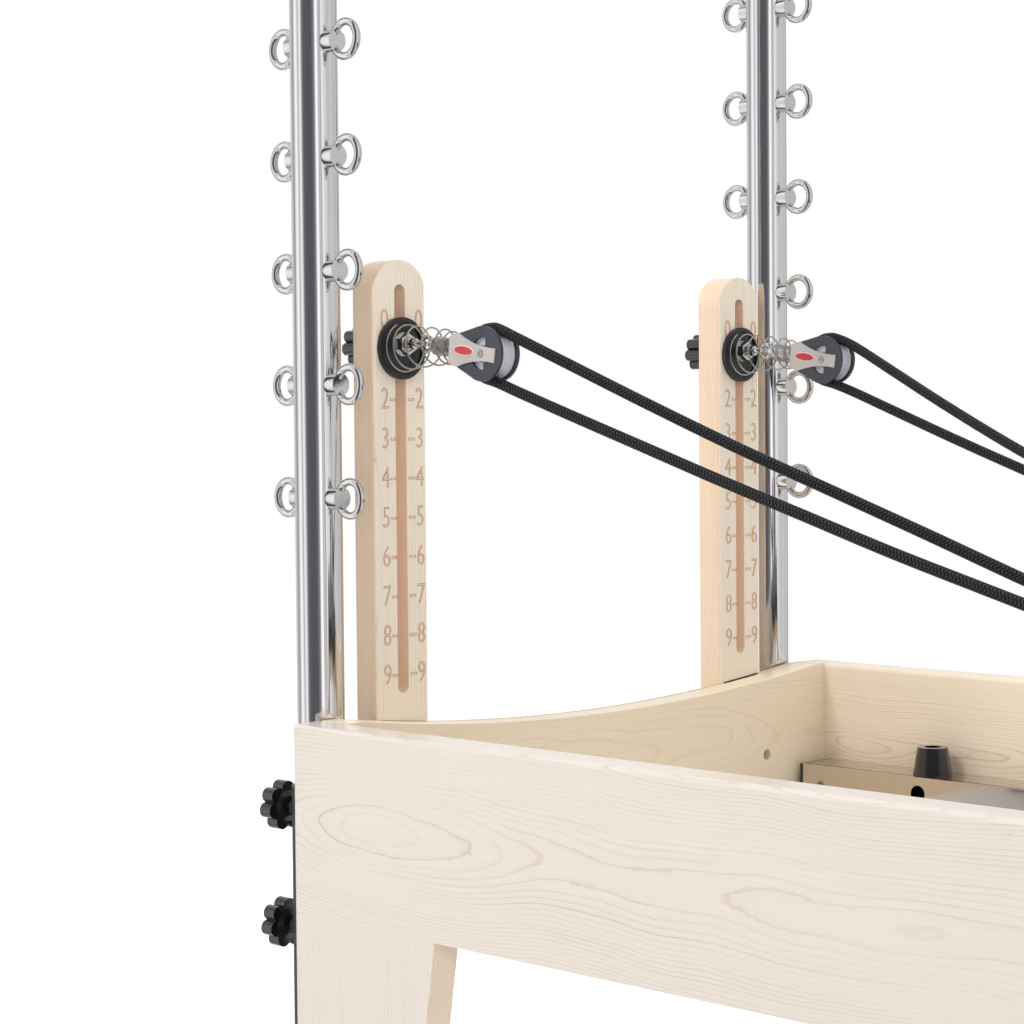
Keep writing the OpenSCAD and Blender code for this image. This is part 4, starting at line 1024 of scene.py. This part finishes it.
def studio_bands(sky):
    """The bands as a colour. The dark ones are a little cool."""
    direction = sky.node("ShaderNodeTexCoord")
    split = sky.node("ShaderNodeSeparateXYZ")
    sky.link(direction.outputs["Generated"], split.inputs[0])
    azimuth = sky.math("ARCTAN2", split.outputs["Y"], split.outputs["X"])
    share = sky.node("ShaderNodeMapRange", From_Min=-math.pi, From_Max=math.pi)
    sky.link(azimuth, share.inputs["Value"])
    studio = sky.node("ShaderNodeValToRGB")
    bands = studio.color_ramp.elements
    for degrees, level in STUDIO_BANDS:
        position = (degrees + 180) / 360
        element = bands.new(position) if 0 < position < 1 else bands[0 if position == 0 else -1]
        cool = COOLING if level < DARK_BAND else 1.0
        element.color = (level, level, level * cool, 1)
    sky.link(share.outputs["Result"], studio.inputs["Fac"])
    return studio.outputs["Color"]


def mixed_shader(sky, share, first, second):
    made = sky.node("ShaderNodeMixShader")
    for socket, source in zip(made.inputs, (share, first.outputs[0], second.outputs[0])):
        sky.link(source, socket)
    return made


def make_world():
    """White to the camera, an even grey as light, and bands of light and dark in reflections."""
    world = bpy.data.worlds.new("studio")
    bpy.context.scene.world = world
    world.use_nodes = True
    sky = Graph(world.node_tree)
    sky.tree.nodes.clear()
    rays = sky.node("ShaderNodeLightPath").outputs
    soft = sky.node("ShaderNodeBackground", Strength=SOFT_LEVEL, Color=WHITE)
    plain = sky.node("ShaderNodeBackground", Strength=1.0, Color=WHITE)
    shiny = sky.node("ShaderNodeBackground", Strength=1.0)
    sky.link(studio_bands(sky), shiny.inputs["Color"])
    lit = mixed_shader(sky, rays["Is Glossy Ray"], soft, shiny)
    seen = sky.math("MAXIMUM", rays["Is Camera Ray"], rays["Is Transmission Ray"])
    shown = mixed_shader(sky, seen, lit, plain)
    output = sky.node("ShaderNodeOutputWorld")
    sky.link(shown.outputs[0], output.inputs["Surface"])


def softbox(name, place, target, size, power):
    light = bpy.data.lights.new(name, "AREA")
    light.shape = "RECTANGLE"
    light.size = size[0]
    light.size_y = size[1]
    light.energy = power
    lamp = bpy.data.objects.new(name, light)
    bpy.context.collection.objects.link(lamp)
    lamp.location = place
    lamp.rotation_euler = (Vector(target) - Vector(place)).to_track_quat("-Z", "Y").to_euler()
    lamp.visible_glossy = False


# Name, place, target and size in metres, and power in watts
SOFTBOXES = (
    ("key", (-1.6, -2.6, 3.0), (-0.9, 0, 0.5), (0.9, 0.9), 66),
    ("fill", (2.4, -2.4, 1.8), (-0.6, 0, 0.5), (2.2, 1.6), 38),
    ("top", (0, 0.4, 3.6), (0, 0, 0.4), (3.0, 2.0), 40),
    ("back", (0.5, 3.0, 2.2), (0, 0, 0.6), (2.4, 1.6), 22),
)

# The camera that the photograph was taken from: its eye in millimetres from the near upright's axis at
# the rail top, its turns in degrees, and its focal length and picture width in picture points
EYE = (1639.5241, -1397.1623, 265.2661)
TURNS = (44.997, -2.258, -0.486)
FOCAL_LENGTH = 2420.1
PICTURE_WIDTH = 1024
SENSOR_WIDTH = 36


def make_camera():
    yaw, pitch, roll = (math.radians(angle) for angle in TURNS)
    forward = Vector((-math.cos(pitch) * math.sin(yaw), math.cos(pitch) * math.cos(yaw), math.sin(pitch)))
    level_right = Vector((math.cos(yaw), math.sin(yaw), 0))
    level_up = level_right.cross(forward)
    right = math.cos(roll) * level_right + math.sin(roll) * level_up
    up = -math.sin(roll) * level_right + math.cos(roll) * level_up
    camera_data = bpy.data.cameras.new("photo_camera")
    camera_data.sensor_width = SENSOR_WIDTH
    camera_data.lens = FOCAL_LENGTH / PICTURE_WIDTH * SENSOR_WIDTH
    camera = bpy.data.objects.new("photo_camera", camera_data)
    bpy.context.collection.objects.link(camera)
    turned = Matrix((right, up, -forward)).transposed().to_4x4()
    camera.matrix_world = Matrix.Translation(from_upright(*EYE)) @ turned
    bpy.context.scene.camera = camera


make_floor()
make_world()
for box in SOFTBOXES:
    softbox(*box)
make_camera()
bpy.context.scene.view_settings.view_transform = "Standard"
